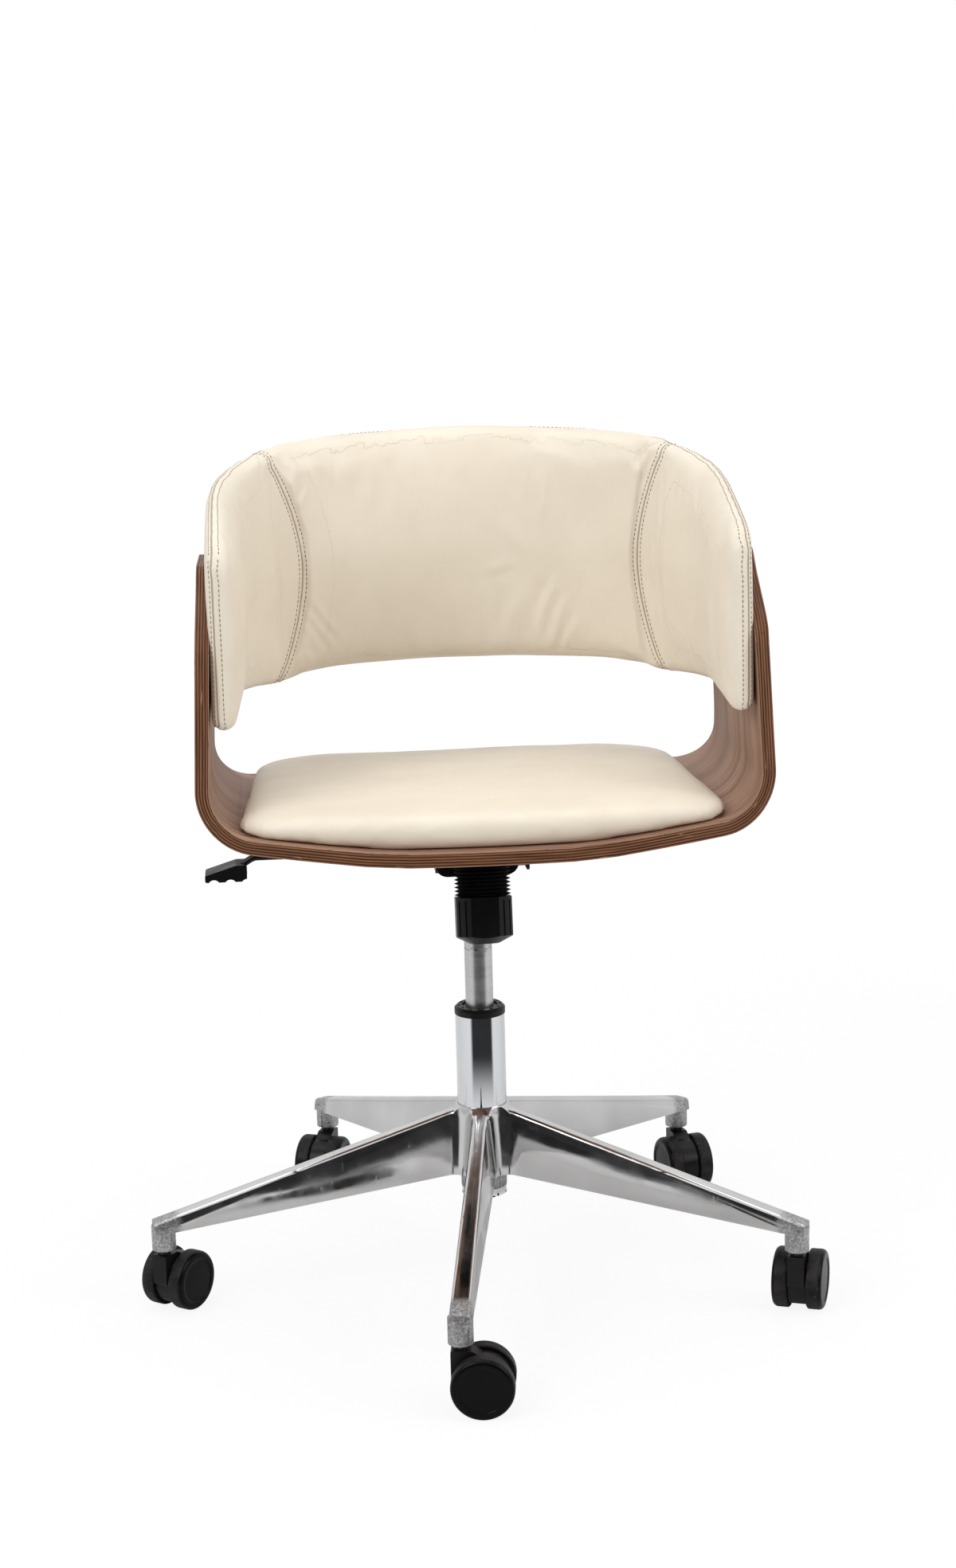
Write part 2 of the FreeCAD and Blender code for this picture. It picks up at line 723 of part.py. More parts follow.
def build_mechanism_body():
    body = new_body("mechanism_body")
    half = "mech_width / 2"
    inner_half = f"({half} - mech_wall)"
    inner_floor = "(mech_dish_bottom_height + mech_wall)"
    roof = "(mech_top_height + cut_overrun)"
    dish_length = "(mech_dish_rear - mech_dish_front)"
    dish_sketch = new_sketch(body, "dish_outline", "XZ_Plane", "-mech_dish_rear")
    add_outline(dish_sketch, [
        (f"-{half}", "mech_dish_bottom_height", "mech_dish_radius"),
        (half, "mech_dish_bottom_height", "mech_dish_radius"),
        (half, "mech_top_height"), (f"-{half}", "mech_top_height")])
    extrude(body, "Pad", "dish", dish_sketch, dish_length)
    tray_sketch = new_sketch(body, "tray_outline", "YZ_Plane")
    seam = "(mech_dish_front + mech_wall)"
    add_outline(tray_sketch, [
        ("mech_front", tray_floor("mech_front")),
        (seam, tray_floor(seam)),
        (seam, "mech_top_height"),
        ("mech_front", "mech_top_height")])
    extrude(body, "Pad", "tray", tray_sketch, "mech_width", both_ways=True)
    hollow_sketch = new_sketch(body, "dish_hollow_outline", "XZ_Plane",
                               "-(mech_dish_rear - mech_wall)")
    add_outline(hollow_sketch, [
        (f"-{inner_half}", inner_floor, "mech_dish_radius - mech_wall"),
        (inner_half, inner_floor, "mech_dish_radius - mech_wall"),
        (inner_half, roof), (f"-{inner_half}", roof)])
    extrude(body, "Pocket", "dish_hollow", hollow_sketch, f"{dish_length} - 2 * mech_wall",
            reverse=True)
    inner_sketch = new_sketch(body, "tray_hollow_outline", "YZ_Plane")
    front_inside = "(mech_front + mech_wall)"
    add_outline(inner_sketch, [
        (front_inside, f"({tray_floor(front_inside)} + mech_wall)"),
        (seam, f"({tray_floor(seam)} + mech_wall)"),
        (seam, roof),
        (front_inside, roof)])
    extrude(body, "Pocket", "tray_hollow", inner_sketch, f"2 * {inner_half}", both_ways=True)
    slope_sketch = new_sketch(body, "rear_slope_outline", "YZ_Plane")
    add_outline(slope_sketch, [
        ("mech_top_rear", "mech_top_height"),
        ("mech_dish_rear + cut_overrun", "mech_rear_top_height"),
        ("mech_dish_rear + cut_overrun", roof),
        ("mech_top_rear", roof)])
    extrude(body, "Pocket", "rear_slope", slope_sketch, "mech_width + cut_overrun",
            both_ways=True)
    sleeve_sketch = new_sketch(body, "sleeve_outline", "XY_Plane", "sleeve_bottom_height")
    add_circle(sleeve_sketch, "0", "0", "sleeve_radius")
    extrude(body, "Pad", "sleeve", sleeve_sketch, "cylinder_top_height - sleeve_bottom_height")
    bore_sketch = new_sketch(body, "sleeve_bore_outline", "XZ_Plane")
    add_outline(bore_sketch, [
        ("0", "sleeve_bottom_height - cut_overrun"),
        ("cylinder_radius + seating_gap", "sleeve_bottom_height - cut_overrun"),
        ("cylinder_radius + seating_gap", "sleeve_bottom_height"),
        ("cylinder_taper_radius + seating_gap", "cylinder_top_height"),
        ("0", "cylinder_top_height")])
    revolve(body, "Groove", "sleeve_bore", bore_sketch)
    pin_sketch = new_sketch(body, "pin_hole_outline", "YZ_Plane")
    add_circle(pin_sketch, "pivot_back", "pivot_height", "pin_radius + running_gap")
    extrude(body, "Pocket", "pin_holes", pin_sketch, "mech_width + cut_overrun", both_ways=True)
    lever_sketch = new_sketch(body, "lever_hole_outline", "YZ_Plane",
                              f"-{half} - cut_overrun")
    add_circle(lever_sketch, "0", "lever_height", "lever_radius + free_gap")
    extrude(body, "Pocket", "lever_hole", lever_sketch, "2 * cut_overrun + mech_wall",
            reverse=True)
    hole = drill(body, "bolt_hole", "bolt_hole_radius", "4 * cut_overrun")
    place(hole, ("tension_side",
                 "tension_back - 2 * cut_overrun * sin(tension_lean * 1 deg)",
                 "tension_height - 2 * cut_overrun * cos(tension_lean * 1 deg)"),
          (1, 0, 0), "-tension_lean")


def build_pivot_pin():
    body = new_body("tilt_pivot_pin")
    half = "(mech_width / 2 + flange_gap + flange_thickness + running_gap)"
    sketch = new_sketch(body, "pin_outline", "XZ_Plane")
    add_outline(sketch, [
        ("0", f"-{half} - pin_head_height"),
        ("pin_head_radius", f"-{half} - pin_head_height"),
        ("pin_head_radius", f"-{half}"),
        ("pin_radius", f"-{half}"),
        ("pin_radius", half),
        ("pin_head_radius", half),
        ("pin_head_radius", f"{half} + pin_head_height"),
        ("0", f"{half} + pin_head_height")])
    revolve(body, "Revolution", "pin", sketch)
    place(body, ("0", "pivot_back", "pivot_height"), (0, 1, 0), "90")


SEAT_PLACE = {"base": ("0", "0", "seat_height"), "axis": (1, 0, 0), "angle": "-seat_recline"}


def seat_side(back, height):
    """A world point of the side view, in the reclined seat's own frame."""
    along = f"(({back}) * cos(seat_recline * 1 deg) - (({height}) - seat_height)" \
            f" * sin(seat_recline * 1 deg))"
    up = f"(({back}) * sin(seat_recline * 1 deg) + (({height}) - seat_height)" \
         f" * cos(seat_recline * 1 deg))"
    return along, up


def seat_bolt_spots():
    return [(side + "seat_bolt_side", back)
            for side in ("", "-") for back in ("seat_bolt_front", "seat_bolt_rear")]


def build_seat_plate():
    body = new_body("seat_plate")
    plate_sketch = new_sketch(body, "plate_outline", "XY_Plane", "-plate_thickness")
    add_outline(plate_sketch, [
        ("-plate_width / 2", "plate_front", "2 * cut_overrun"),
        ("plate_width / 2", "plate_front", "2 * cut_overrun"),
        ("plate_width / 2", "plate_rear", "2 * cut_overrun"),
        ("-plate_width / 2", "plate_rear", "2 * cut_overrun")])
    extrude(body, "Pad", "plate", plate_sketch, "plate_thickness")
    flange_inside = "(mech_width / 2 + flange_gap)"
    left_start = f"-{flange_inside} - flange_thickness"
    for name, offset in (("right", flange_inside), ("left", left_start)):
        sketch = new_sketch(body, f"{name}_flange_outline", "YZ_Plane", offset)
        add_outline(sketch, [
            ("flange_front", "-plate_thickness / 2"),
            ("flange_front", "-flange_depth", "cut_overrun"),
            ("flange_rear", "-flange_depth", "cut_overrun"),
            ("flange_rear", "-plate_thickness / 2")])
        extrude(body, "Pad", f"{name}_flange", sketch, "flange_thickness")
    slot_half = "(bolt_radius + 2 * free_gap)"
    slot_back = seat_side("tension_back + strap_depth * sin(tension_lean * 1 deg)",
                          "tension_height + strap_depth")[0]
    slot_front = f"({slot_back} - 2 * {slot_half})"
    slot_rear = f"({slot_back} + 2 * {slot_half})"
    strap_sketch = new_sketch(body, "strap_outline", "YZ_Plane")
    add_outline(strap_sketch, [
        (f"{slot_front} - strap_margin", "-strap_depth"),
        (f"{slot_rear} + strap_margin", "-strap_depth"),
        (f"{slot_rear} + strap_margin", "-strap_depth + strap_thickness"),
        (f"{slot_front} - strap_margin", "-strap_depth + strap_thickness")])
    extrude(body, "Pad", "strap", strap_sketch,
            f"2 * {flange_inside} + flange_thickness", both_ways=True)
    pin_back, pin_up = seat_side("pivot_back", "pivot_height")
    pin_sketch = new_sketch(body, "flange_hole_outline", "YZ_Plane")
    add_circle(pin_sketch, pin_back, pin_up, "pin_radius + running_gap")
    extrude(body, "Pocket", "flange_holes", pin_sketch, "plate_width", both_ways=True)
    bolt_sketch = new_sketch(body, "plate_hole_outline", "XY_Plane", "-plate_thickness")
    for across, back in seat_bolt_spots():
        add_circle(bolt_sketch, across, back, "seat_bolt_radius + seating_gap")
    extrude(body, "Pocket", "plate_holes", bolt_sketch, "plate_thickness", reverse=True)
    slot_sketch = new_sketch(body, "strap_slot_outline", "XY_Plane", "-strap_depth")
    add_outline(slot_sketch, [
        (f"tension_side - {slot_half}", slot_front),
        (f"tension_side + {slot_half}", slot_front),
        (f"tension_side + {slot_half}", slot_rear),
        (f"tension_side - {slot_half}", slot_rear)])
    extrude(body, "Pocket", "strap_slot", slot_sketch, "strap_thickness", reverse=True)
    place(body, **SEAT_PLACE)


# Tension bolt, spring, bellows and knob

TENSION_PLACE = {"base": ("tension_side", "tension_back", "tension_height"),
                 "axis": (1, 0, 0), "angle": "-tension_lean"}


def build_tension_bolt():
    body = turned_body("tension_bolt", [
        ("0", "bolt_top - bolt_length"),
        ("bolt_radius", "bolt_top - bolt_length"),
        ("bolt_radius", "bolt_top"),
        ("bolt_head_radius", "bolt_top"),
        ("bolt_head_radius", "bolt_top + bolt_head_height"),
        ("0", "bolt_top + bolt_head_height"),
    ])
    place(body, **TENSION_PLACE)


def build_tension_spring():
    """A coil of half-turn arcs, swept as one wire of flattened sides."""
    turns = int(size("spring_turns"))
    radius = size("spring_radius")
    wire = size("spring_wire_radius")
    top = -size("free_gap") - wire
    rise = (size("bellows_length") - 2 * size("free_gap") - 2 * wire) / turns
    quarters_per_turn = 4
    points = []
    for quarter in range(quarters_per_turn * turns + 1):
        angle = quarter * math.pi / 2
        height = top - rise * quarter / quarters_per_turn
        points.append(FreeCAD.Vector(radius * math.cos(angle), radius * math.sin(angle), height))
    arcs = [Part.Arc(points[first], points[first + 1], points[first + 2]).toShape()
            for first in range(0, quarters_per_turn * turns, 2)]
    ahead = arcs[0].tangentAt(0)
    outwards = FreeCAD.Vector(1, 0, 0)
    upwards = ahead.cross(outwards).normalize()
    sides = int(size("spring_wire_sides"))
    rim = []
    for side in range(sides):
        turn = 2 * math.pi * side / sides
        rim.append(points[0] + outwards * (wire * math.cos(turn)) + upwards * (wire * math.sin(turn)))
    section = Part.makePolygon(rim + rim[:1])
    coil = Part.Wire(arcs).makePipeShell([section], True, False)
    least_gap = rise - 2 * wire
    print("spring: least gap between turns", round(least_gap, 2), "mm")
    spring = new_feature("tension_spring", coil)
    place(spring, **TENSION_PLACE)


def build_bellows():
    body = new_body("spring_bellows")
    ribs = int(size("bellows_ribs"))
    pitch = "((bellows_length - free_gap) / bellows_ribs)"
    corners = [("bellows_bore_radius", "-free_gap"), ("bellows_root_radius", "-free_gap")]
    for rib in range(ribs):
        corners.append(("bellows_radius", f"-free_gap - ({rib} + 1 / 2) * {pitch}"))
        corners.append(("bellows_root_radius", f"-free_gap - ({rib} + 1) * {pitch}"))
    corners.append(("bellows_bore_radius", "-bellows_length"))
    sketch = add_outline(new_sketch(body, "bellows_outline", "XZ_Plane"), corners)
    revolve(body, "Revolution", "bellows", sketch)
    place(body, **TENSION_PLACE)


def build_knob():
    top = "(-bellows_length - free_gap)"
    shoulder = f"({top} - knob_side_length)"
    body = turned_body("tension_knob", [
        ("bolt_radius + running_gap", top),
        ("knob_radius", top),
        ("knob_radius", shoulder),
        ("knob_dome_radius", f"{shoulder} - knob_dome_height"),
        ("0", f"{shoulder} - knob_dome_height"),
        ("0", "bolt_top - bolt_length - free_gap"),
        ("bolt_radius + running_gap", "bolt_top - bolt_length - free_gap"),
    ])
    flat_sketch = new_sketch(body, "flat_outline", "XY_Plane", top)
    flat = "(knob_radius - knob_flat_depth)"
    add_outline(flat_sketch, [
        (flat, "-knob_radius"), ("knob_radius + cut_overrun", "-knob_radius"),
        ("knob_radius + cut_overrun", "knob_radius"), (flat, "knob_radius")])
    cut = extrude(body, "Pocket", "flat", flat_sketch,
                  "knob_side_length + knob_dome_height + cut_overrun")
    around(body, "flats", [cut], "knob_side_count", flat_sketch)
    groove_sketch = new_sketch(body, "groove_outline", "XY_Plane", f"{top} - knob_flat_depth")
    for side in ("-", "+"):
        angle = f"(({HALF_TURN} / knob_side_count {side} knob_groove_turn) * 1 deg)"
        add_circle(groove_sketch, f"(knob_radius * cos({angle}))",
                   f"(knob_radius * sin({angle}))", "knob_groove_radius")
    groove = extrude(body, "Pocket", "groove", groove_sketch,
                     "knob_side_length + knob_dome_height")
    around(body, "grooves", [groove], "knob_side_count", flat_sketch)
    place(body, **TENSION_PLACE)


# Lift lever

def build_lever():
    body = new_body("lift_lever")
    path = new_sketch(body, "lever_path", "XZ_Plane")
    corners = [("lever_inner_reach", "lever_height"),
               ("-lever_bend_reach", "lever_height"),
               ("-lever_end_reach", "lever_height - lever_end_drop")]
    spots = [FreeCAD.Vector(size(across), size(up), 0) for across, up in corners]
    before = (spots[0] - spots[1]).normalize()
    after = (spots[2] - spots[1]).normalize()
    half = before.getAngle(after) / 2
    radius = size("lever_bend_radius")
    reach = radius / math.tan(half)
    first = spots[1] + before * reach
    last = spots[1] + after * reach
    centre = spots[1] + (before + after).normalize() * (radius / math.sin(half))
    run = path.addGeometry(Part.LineSegment(spots[0], first))
    drop = path.addGeometry(Part.LineSegment(last, spots[2]))
    bend, near, far = add_arc(path, centre, radius, first, last)
    path.addConstraint(Sketcher.Constraint("Tangent", run, 2, bend, near))
    path.addConstraint(Sketcher.Constraint("Tangent", bend, far, drop, 1))
    mark = path.addConstraint(Sketcher.Constraint("Radius", bend, radius))
    path.setExpression(f"Constraints[{mark}]", bound("lever_bend_radius"))
    path.addConstraint(Sketcher.Constraint("Horizontal", run))
    pin_point(path, run, 1, *corners[0])
    pin_point(path, drop, 2, *corners[2])
    section = new_sketch(body, "lever_section", "YZ_Plane", "lever_inner_reach")
    add_circle(section, "0", "lever_height", "lever_radius")
    pipe = body.newObject("PartDesign::AdditivePipe", "lever")
    pipe.Profile = section
    pipe.Spine = path
    return body


def build_handle():
    body = new_body("lever_handle")
    outline = new_sketch(body, "handle_outline", "XZ_Plane")
    add_outline(outline, [
        ("0", "0", "handle_corner_radius / 2"),
        ("0", "-handle_height", "handle_corner_radius / 2"),
        ("-handle_length", "-handle_height", "handle_corner_radius / 2"),
        ("-handle_length", "-handle_end_drop", "handle_corner_radius / 2"),
        ("-handle_saddle_length", "0", "2 * handle_corner_radius")])
    extrude(body, "Pad", "paddle", outline, "handle_width", both_ways=True)
    scallops = new_sketch(body, "scallop_outline", "XZ_Plane")
    for number in range(int(size("scallop_count"))):
        add_circle(scallops, f"-scallop_pitch * {number}",
                   "-handle_height - scallop_radius + scallop_depth",
                   "scallop_radius")
    extrude(body, "Pocket", "scallops", scallops, "handle_width + cut_overrun", both_ways=True)
    inside = new_sketch(body, "handle_hollow_outline", "XY_Plane", "-handle_height")
    add_outline(inside, [
        ("-handle_length / 2", "-handle_width / 2 + handle_wall"),
        ("-handle_length / 2", "handle_width / 2 - handle_wall"),
        ("-handle_length + handle_wall", "handle_width / 2 - handle_wall"),
        ("-handle_length + handle_wall", "-handle_width / 2 + handle_wall")])
    extrude(body, "Pocket", "handle_hollow", inside,
            "handle_height - handle_end_drop - handle_wall", reverse=True)
    entry = drill(body, "rod_entry", "lever_radius + running_gap", "2 * handle_height")
    place(entry, ("handle_inner_reach - lever_end_reach", "0",
                  "lever_height - lever_end_drop - handle_top_height"), (0, 1, 0),
          "atan((lever_end_reach - lever_bend_reach) / lever_end_drop) / (1 deg)")
    place(body, ("-handle_inner_reach", "0", "handle_top_height"))


# Seat shell

LEAN = "(shell_lean_run / (shell_top_height - shell_corner_height))"
PAN_SLOPE = "(shell_corner_height / (shell_half_width - shell_flat_half_width))"


def seat_bend(inset):
    """Where the seat's flat middle ends and where its full slope starts."""
    bend = f"(shell_flat_half_width - ({inset}) * {PAN_SLOPE} / 2)"
    return [
        (f"({bend} - shell_bend_reach)", f"({inset})"),
        (f"({bend} + shell_bend_reach)", f"({inset} + shell_bend_reach * {PAN_SLOPE})"),
    ]


def pan_height(across, inset):
    bend = f"(shell_flat_half_width - ({inset}) * {PAN_SLOPE} / 2)"
    return f"({inset} + ({across} - {bend}) * {PAN_SLOPE})"


def shell_profile(inset):
    """Half section of the bent band, moved inwards: seat bend, arm bend, arm top."""
    corner_across = f"(shell_half_width - ({inset}) * (1 + {LEAN}))"
    corner_up = pan_height(corner_across, inset)
    top_across = f"({corner_across} - (shell_top_height + cut_overrun - {corner_up}) * {LEAN})"
    return seat_bend(inset) + [
        (corner_across, corner_up, f"(shell_corner_radius - ({inset}))"),
        (top_across, "(shell_top_height + cut_overrun)"),
    ]


def both_sides(half):
    """A path across the middle: the left half mirrored, then the right half."""
    left = [(f"-{corner[0]}",) + corner[1:] for corner in reversed(half)]
    return left + half


def front_edge(front, radius, sweep, half_width):
    """Corners of a front edge that is one wide arc, and its end height at the side."""
    point = f"({front} - ({radius}) * (1 / cos({sweep} * 1 deg) - 1))"
    end = f"({point} + ({half_width}) * tan({sweep} * 1 deg))"
    return point, end


def arm_bolt_frame(side, back):
    """Place of a bolt whose head is flush with an arm's outer face, its axis outwards."""
    across = size(f"shell_half_width - {LEAN} * (back_bolt_height - shell_corner_height)")
    lean = math.degrees(math.atan(size(LEAN)))
    face = FreeCAD.Placement(
        FreeCAD.Vector(side * across, size(back), size("back_bolt_height")),
        FreeCAD.Rotation(FreeCAD.Vector(0, 1, 0), side * (90 - lean)))
    return face.multiply(FreeCAD.Placement(
        FreeCAD.Vector(0, 0, -size("bolt_cap_height")), FreeCAD.Rotation()))


ARM_TOP = [
    ("arm_front - arm_front_lean", "arm_shoulder_height", "arm_large_round"),
    ("arm_brow_back", "arm_brow_height", "arm_small_round"),
    ("arm_top_front", "shell_top_height", "arm_small_round"),
    ("arm_top_rear", "shell_top_height", "arm_large_round"),
    ("arm_rear", "arm_rear_height", "arm_large_round"),
]


def build_seat_shell():
    body = new_body("seat_shell")
    outer = both_sides(shell_profile("0"))
    inner = both_sides(shell_profile("shell_thickness"))
    band = new_sketch(body, "band_outline", "XZ_Plane", "-shell_rear")
    add_outline(band, outer + inner[::-1])
    extrude(body, "Pad", "band", band, "shell_rear - shell_front + cut_overrun")
    wide = "(shell_half_width + 2 * cut_overrun)"
    point, end = front_edge("shell_front", "shell_front_radius", "shell_front_sweep", wide)
    ahead = "(shell_front - 4 * cut_overrun)"
    arm_start = ("arm_front", "arm_start_height")
    front = new_sketch(body, "front_edge_outline", "XY_Plane", "-cut_overrun")
    add_outline(front, [
        ("0", point, "shell_front_radius"), (wide, end), (wide, f"2 * {ahead}"),
        (f"-{wide}", f"2 * {ahead}"), (f"-{wide}", end)])
    extrude(body, "Pocket", "front_edge", front, "shell_top_height + 4 * cut_overrun",
            reverse=True)
    behind = "(shell_rear + 2 * cut_overrun)"
    above = "(shell_top_height + 4 * cut_overrun)"
    arms = new_sketch(body, "arm_outline", "YZ_Plane")
    add_outline(arms, [
        (ahead, arm_start[1]),
        arm_start,
        *ARM_TOP,
        ("arm_rear", "arm_foot_height", "arm_foot_radius"),
        (behind, "arm_foot_height"),
        (behind, above),
        (ahead, above)])
    extrude(body, "Pocket", "arm_edges", arms, f"2 * {wide}", both_ways=True)
    holes = new_sketch(body, "seat_hole_outline", "XY_Plane", "shell_thickness")
    for across, back in seat_bolt_spots():
        add_circle(holes, across, back, "seat_bolt_radius + seating_gap")
    extrude(body, "Pocket", "seat_holes", holes, "shell_thickness + cut_overrun")
    for side in (-1, 1):
        for back in ("back_bolt_front", "back_bolt_rear"):
            hole = drill(body, "arm_hole", "back_bolt_radius + seating_gap",
                         "2 * shell_thickness")
            inwards = FreeCAD.Placement(
                FreeCAD.Vector(0, 0, -size("shell_thickness + cut_overrun")),
                FreeCAD.Rotation())
            hole.Placement = arm_bolt_frame(side, back).multiply(inwards)
            sink = drill(body, "arm_sink", "bolt_cap_radius + seating_gap",
                         "bolt_cap_height + cut_overrun")
            sink.Placement = arm_bolt_frame(side, back)
    place(body, **SEAT_PLACE)


def pan_corners(half_width, inset):
    """Half of a line across the seat, at a height above the shell's underside."""
    return seat_bend(inset) + [(half_width, pan_height(half_width, inset))]


def build_cushion_board():
    body = new_body("cushion_board")
    low = both_sides(pan_corners("board_half_width", "(shell_thickness + seating_gap)"))
    high = both_sides(pan_corners(
        "board_half_width", "(shell_thickness + seating_gap + board_thickness)"))
    section = new_sketch(body, "board_section", "XZ_Plane", "-board_rear")
    add_outline(section, low + high[::-1])
    extrude(body, "Pad", "board", section, "board_rear - board_front")

    def upright(edge):
        box = edge.BoundBox
        return box.ZLength > box.XLength and box.ZLength > box.YLength

    soften(body, "board_corners", upright, "board_round")
    body.Tip = doc.getObject("board_corners")
    holes = new_sketch(body, "board_hole_outline", "XY_Plane",
                       "shell_thickness + 2 * board_thickness")
    for across, back in seat_bolt_spots():
        add_circle(holes, across, back, "seat_bolt_radius + running_gap")
    extrude(body, "Pocket", "board_holes", holes, "2 * board_thickness + cut_overrun")
    place(body, **SEAT_PLACE)


# Soft pieces: the seat cushion and the back pad

def in_numbers(corners):
    """Corners given as expressions, with a radius of zero where they have none."""
    full = [corner if len(corner) > 2 else corner + ("0",) for corner in corners]
    return [tuple(size(part) for part in corner) for corner in full]


def rounded_wire(corners, to_space):
    """A closed wire of lines and arcs from (across, up, radius) in plain numbers."""
    spots = [FreeCAD.Vector(across, up, 0) for across, up, radius in corners]
    count = len(spots)
    pieces = []
    for index, (across, up, radius) in enumerate(corners):
        here = spots[index]
        if radius == 0:
            pieces.append((here, here, here))
            continue
        before = (spots[index - 1] - here).normalize()
        after = (spots[(index + 1) % count] - here).normalize()
        half = before.getAngle(after) / 2
        reach = radius / math.tan(half)
        middle = here + (before + after).normalize() * (radius / math.sin(half) - radius)
        pieces.append((here + before * reach, middle, here + after * reach))
    edges = []
    for index, (first, middle, last) in enumerate(pieces):
        following = pieces[(index + 1) % count][0]
        if first != last:
            edges.append(Part.Arc(to_space(first), to_space(middle), to_space(last)).toShape())
        edges.append(Part.LineSegment(to_space(last), to_space(following)).toShape())
    return Part.Wire(edges)


def cushion_outline(inset, height):
    """The seat cushion's outline drawn in by an inset, at a height in the seat's frame."""
    side = size("cushion_half_width") - inset
    rear_side = size("cushion_rear_half_width") - inset
    rear = size("cushion_rear") - inset
    front = size("cushion_front") + inset
    radius = size("shell_front_radius") - inset
    sweep = size("cushion_front_sweep")
    left = 1 - inset / size("2 * cushion_rear_round")
    front_round = size("cushion_front_round") * left
    rear_round = size("cushion_rear_round") * left
    point, end = front_edge(str(front), str(radius), str(sweep), str(side))
    front_point = size(point)
    front_end = size(end)
    corners = [
        (0, front_point, radius * left),
        (side, front_end, front_round),
        (rear_side, rear, rear_round),
        (-rear_side, rear, rear_round),
        (-side, front_end, front_round),
    ]
    return rounded_wire(corners, lambda spot: FreeCAD.Vector(spot.x, spot.y, height))


def seat_pan_block(gap):
    """All that lies under and outside the shell's inner face, moved inwards by a gap."""
    low = -size("shell_thickness")
    wide = size("2 * shell_half_width")
    top = size("shell_top_height + cut_overrun")
    path = in_numbers(both_sides(shell_profile(f"(shell_thickness + {gap})")))
    path += [(wide, top, 0), (wide, low, 0), (-wide, low, 0), (-wide, top, 0)]
    start = size("2 * shell_front")
    wire = rounded_wire(path, lambda spot: FreeCAD.Vector(spot.x, start, spot.y))
    return Part.Face(wire).extrude(FreeCAD.Vector(0, size("4 * shell_rear") - start, 0))


def seat_placement():
    return FreeCAD.Placement(
        FreeCAD.Vector(0, 0, size("seat_height")),
        FreeCAD.Rotation(FreeCAD.Vector(1, 0, 0), -size("seat_recline")))


def build_seat_cushion():
    """A crowned pad: outlines drawn in at the foot and towards the top."""
    low = size("shell_thickness") - size("seating_gap")
    crown_shares = [(0, 1), (0.2, 0.3), (0.4, 0), (0.6, 0.12), (0.78, 0.75),
                    (0.89, 2.2), (0.96, 5), (1, 9)]
    sections = [cushion_outline(size("cushion_edge_round") * draw,
                                low + size("cushion_height") * rise)
                for rise, draw in crown_shares]
    form = Part.makeLoft(sections, True, True)
    form = form.cut(seat_pan_block("free_gap"))
    gap = size("seating_gap")
    low_face = "(shell_thickness - cut_overrun)"
    high_face = "(shell_thickness + board_thickness + 3 * seating_gap)"
    half = "(board_half_width + 2 * seating_gap)"
    below = both_sides(pan_corners(half, low_face))
    above = both_sides(pan_corners(half, high_face))
    start = size("board_front") - 2 * gap
    path = in_numbers(below + above[::-1])
    face = Part.Face(rounded_wire(path, lambda spot: FreeCAD.Vector(spot.x, start, spot.y)))
    block = face.extrude(FreeCAD.Vector(0, size("board_rear - board_front") + 4 * gap, 0))
    upright = [edge for edge in block.Edges
               if edge.BoundBox.ZLength > max(edge.BoundBox.XLength, edge.BoundBox.YLength)
               and abs(edge.BoundBox.XMin) > size("board_half_width")]
    block = block.makeFillet(size("board_round"), upright)
    form = form.cut(block)
    cushion = new_feature("seat_cushion", form)
    place(cushion, **SEAT_PLACE)


def pad_station(turn):
    """Where the pad's outer face runs: a point at its low edge, the outward way, the turn."""
    width = size("pad_half_width")
    depth = size("pad_rear - pad_turn_back")
    angle = math.radians(turn)
    spot = FreeCAD.Vector(width * math.cos(angle),
                          size("pad_turn_back") + depth * math.sin(angle), 0)
    way = FreeCAD.Vector(depth * math.cos(angle), width * math.sin(angle), 0).normalize()
    return spot, way, math.sin(angle)


def pad_stations(front):
    """Stations round the horseshoe from the left tip to the right tip."""
    side, way, bend = pad_station(0)
    side_bays = int(size("pad_side_bays"))
    turn_bays = int(size("pad_turn_bays"))
    half = []
    for bay in range(side_bays):
        back = front + (side.y - front) * bay / side_bays
        half.append((FreeCAD.Vector(side.x, back, 0), way, 0))
    for bay in range(turn_bays):
        half.append(pad_station(FULL_TURN / 4 * bay / turn_bays))
    left = [(FreeCAD.Vector(-spot.x, spot.y, 0), FreeCAD.Vector(-way.x, way.y, 0), bend)
            for spot, way, bend in half]
    return left + [pad_station(FULL_TURN / 4)] + half[::-1]


def pad_top(back):
    share = (back - size("pad_front")) / size("pad_rear - pad_front")
    rise = size("pad_rear_top_height - pad_front_top_height") * share
    return size("pad_front_top_height") + rise + 4 * size("pad_top_bow") * share * (1 - share)


def pad_space(station):
    """The map from a section's own plane, across and up, to the model's frame."""
    spot, way, bend = station
    lean = size("pad_side_lean") + size("pad_rear_lean - pad_side_lean") * bend * bend
    low = size("pad_low_height")

    def to_space(local):
        out = local.x + (local.y - low) * math.tan(math.radians(lean))
        return FreeCAD.Vector(spot.x + way.x * out, spot.y + way.y * out, local.y)

    return to_space


def panel_section(station, cover, margin, thickness):
    """A section across the inner panel, cover behind it and margin above and below."""
    low = size("pad_low_height") + margin
    top = pad_top(station[0].y) - margin
    corners = [(-cover, low, 0), (-cover, top, 0),
               (-cover - thickness, top, 0), (-cover - thickness, low, 0)]
    return rounded_wire(corners, pad_space(station))


def pad_section(station):
    """A section across the pad: flat behind, crowned towards the sitter."""
    spot, way, bend = station
    low = size("pad_low_height")
    top = pad_top(spot.y)
    depth = size("pad_side_thickness")
    depth += size("pad_thickness - pad_side_thickness") * bend * bend
    crown = size("pad_crown")
    large = size("pad_large_round")
    small = size("pad_small_round")
    corners = [
        (0, low, small), (0, top, small), (-depth + crown, top, large),
        (-depth, (low + top) / 2, size("pad_crown_radius")), (-depth + crown, low, large)]
    return rounded_wire(corners, pad_space(station))


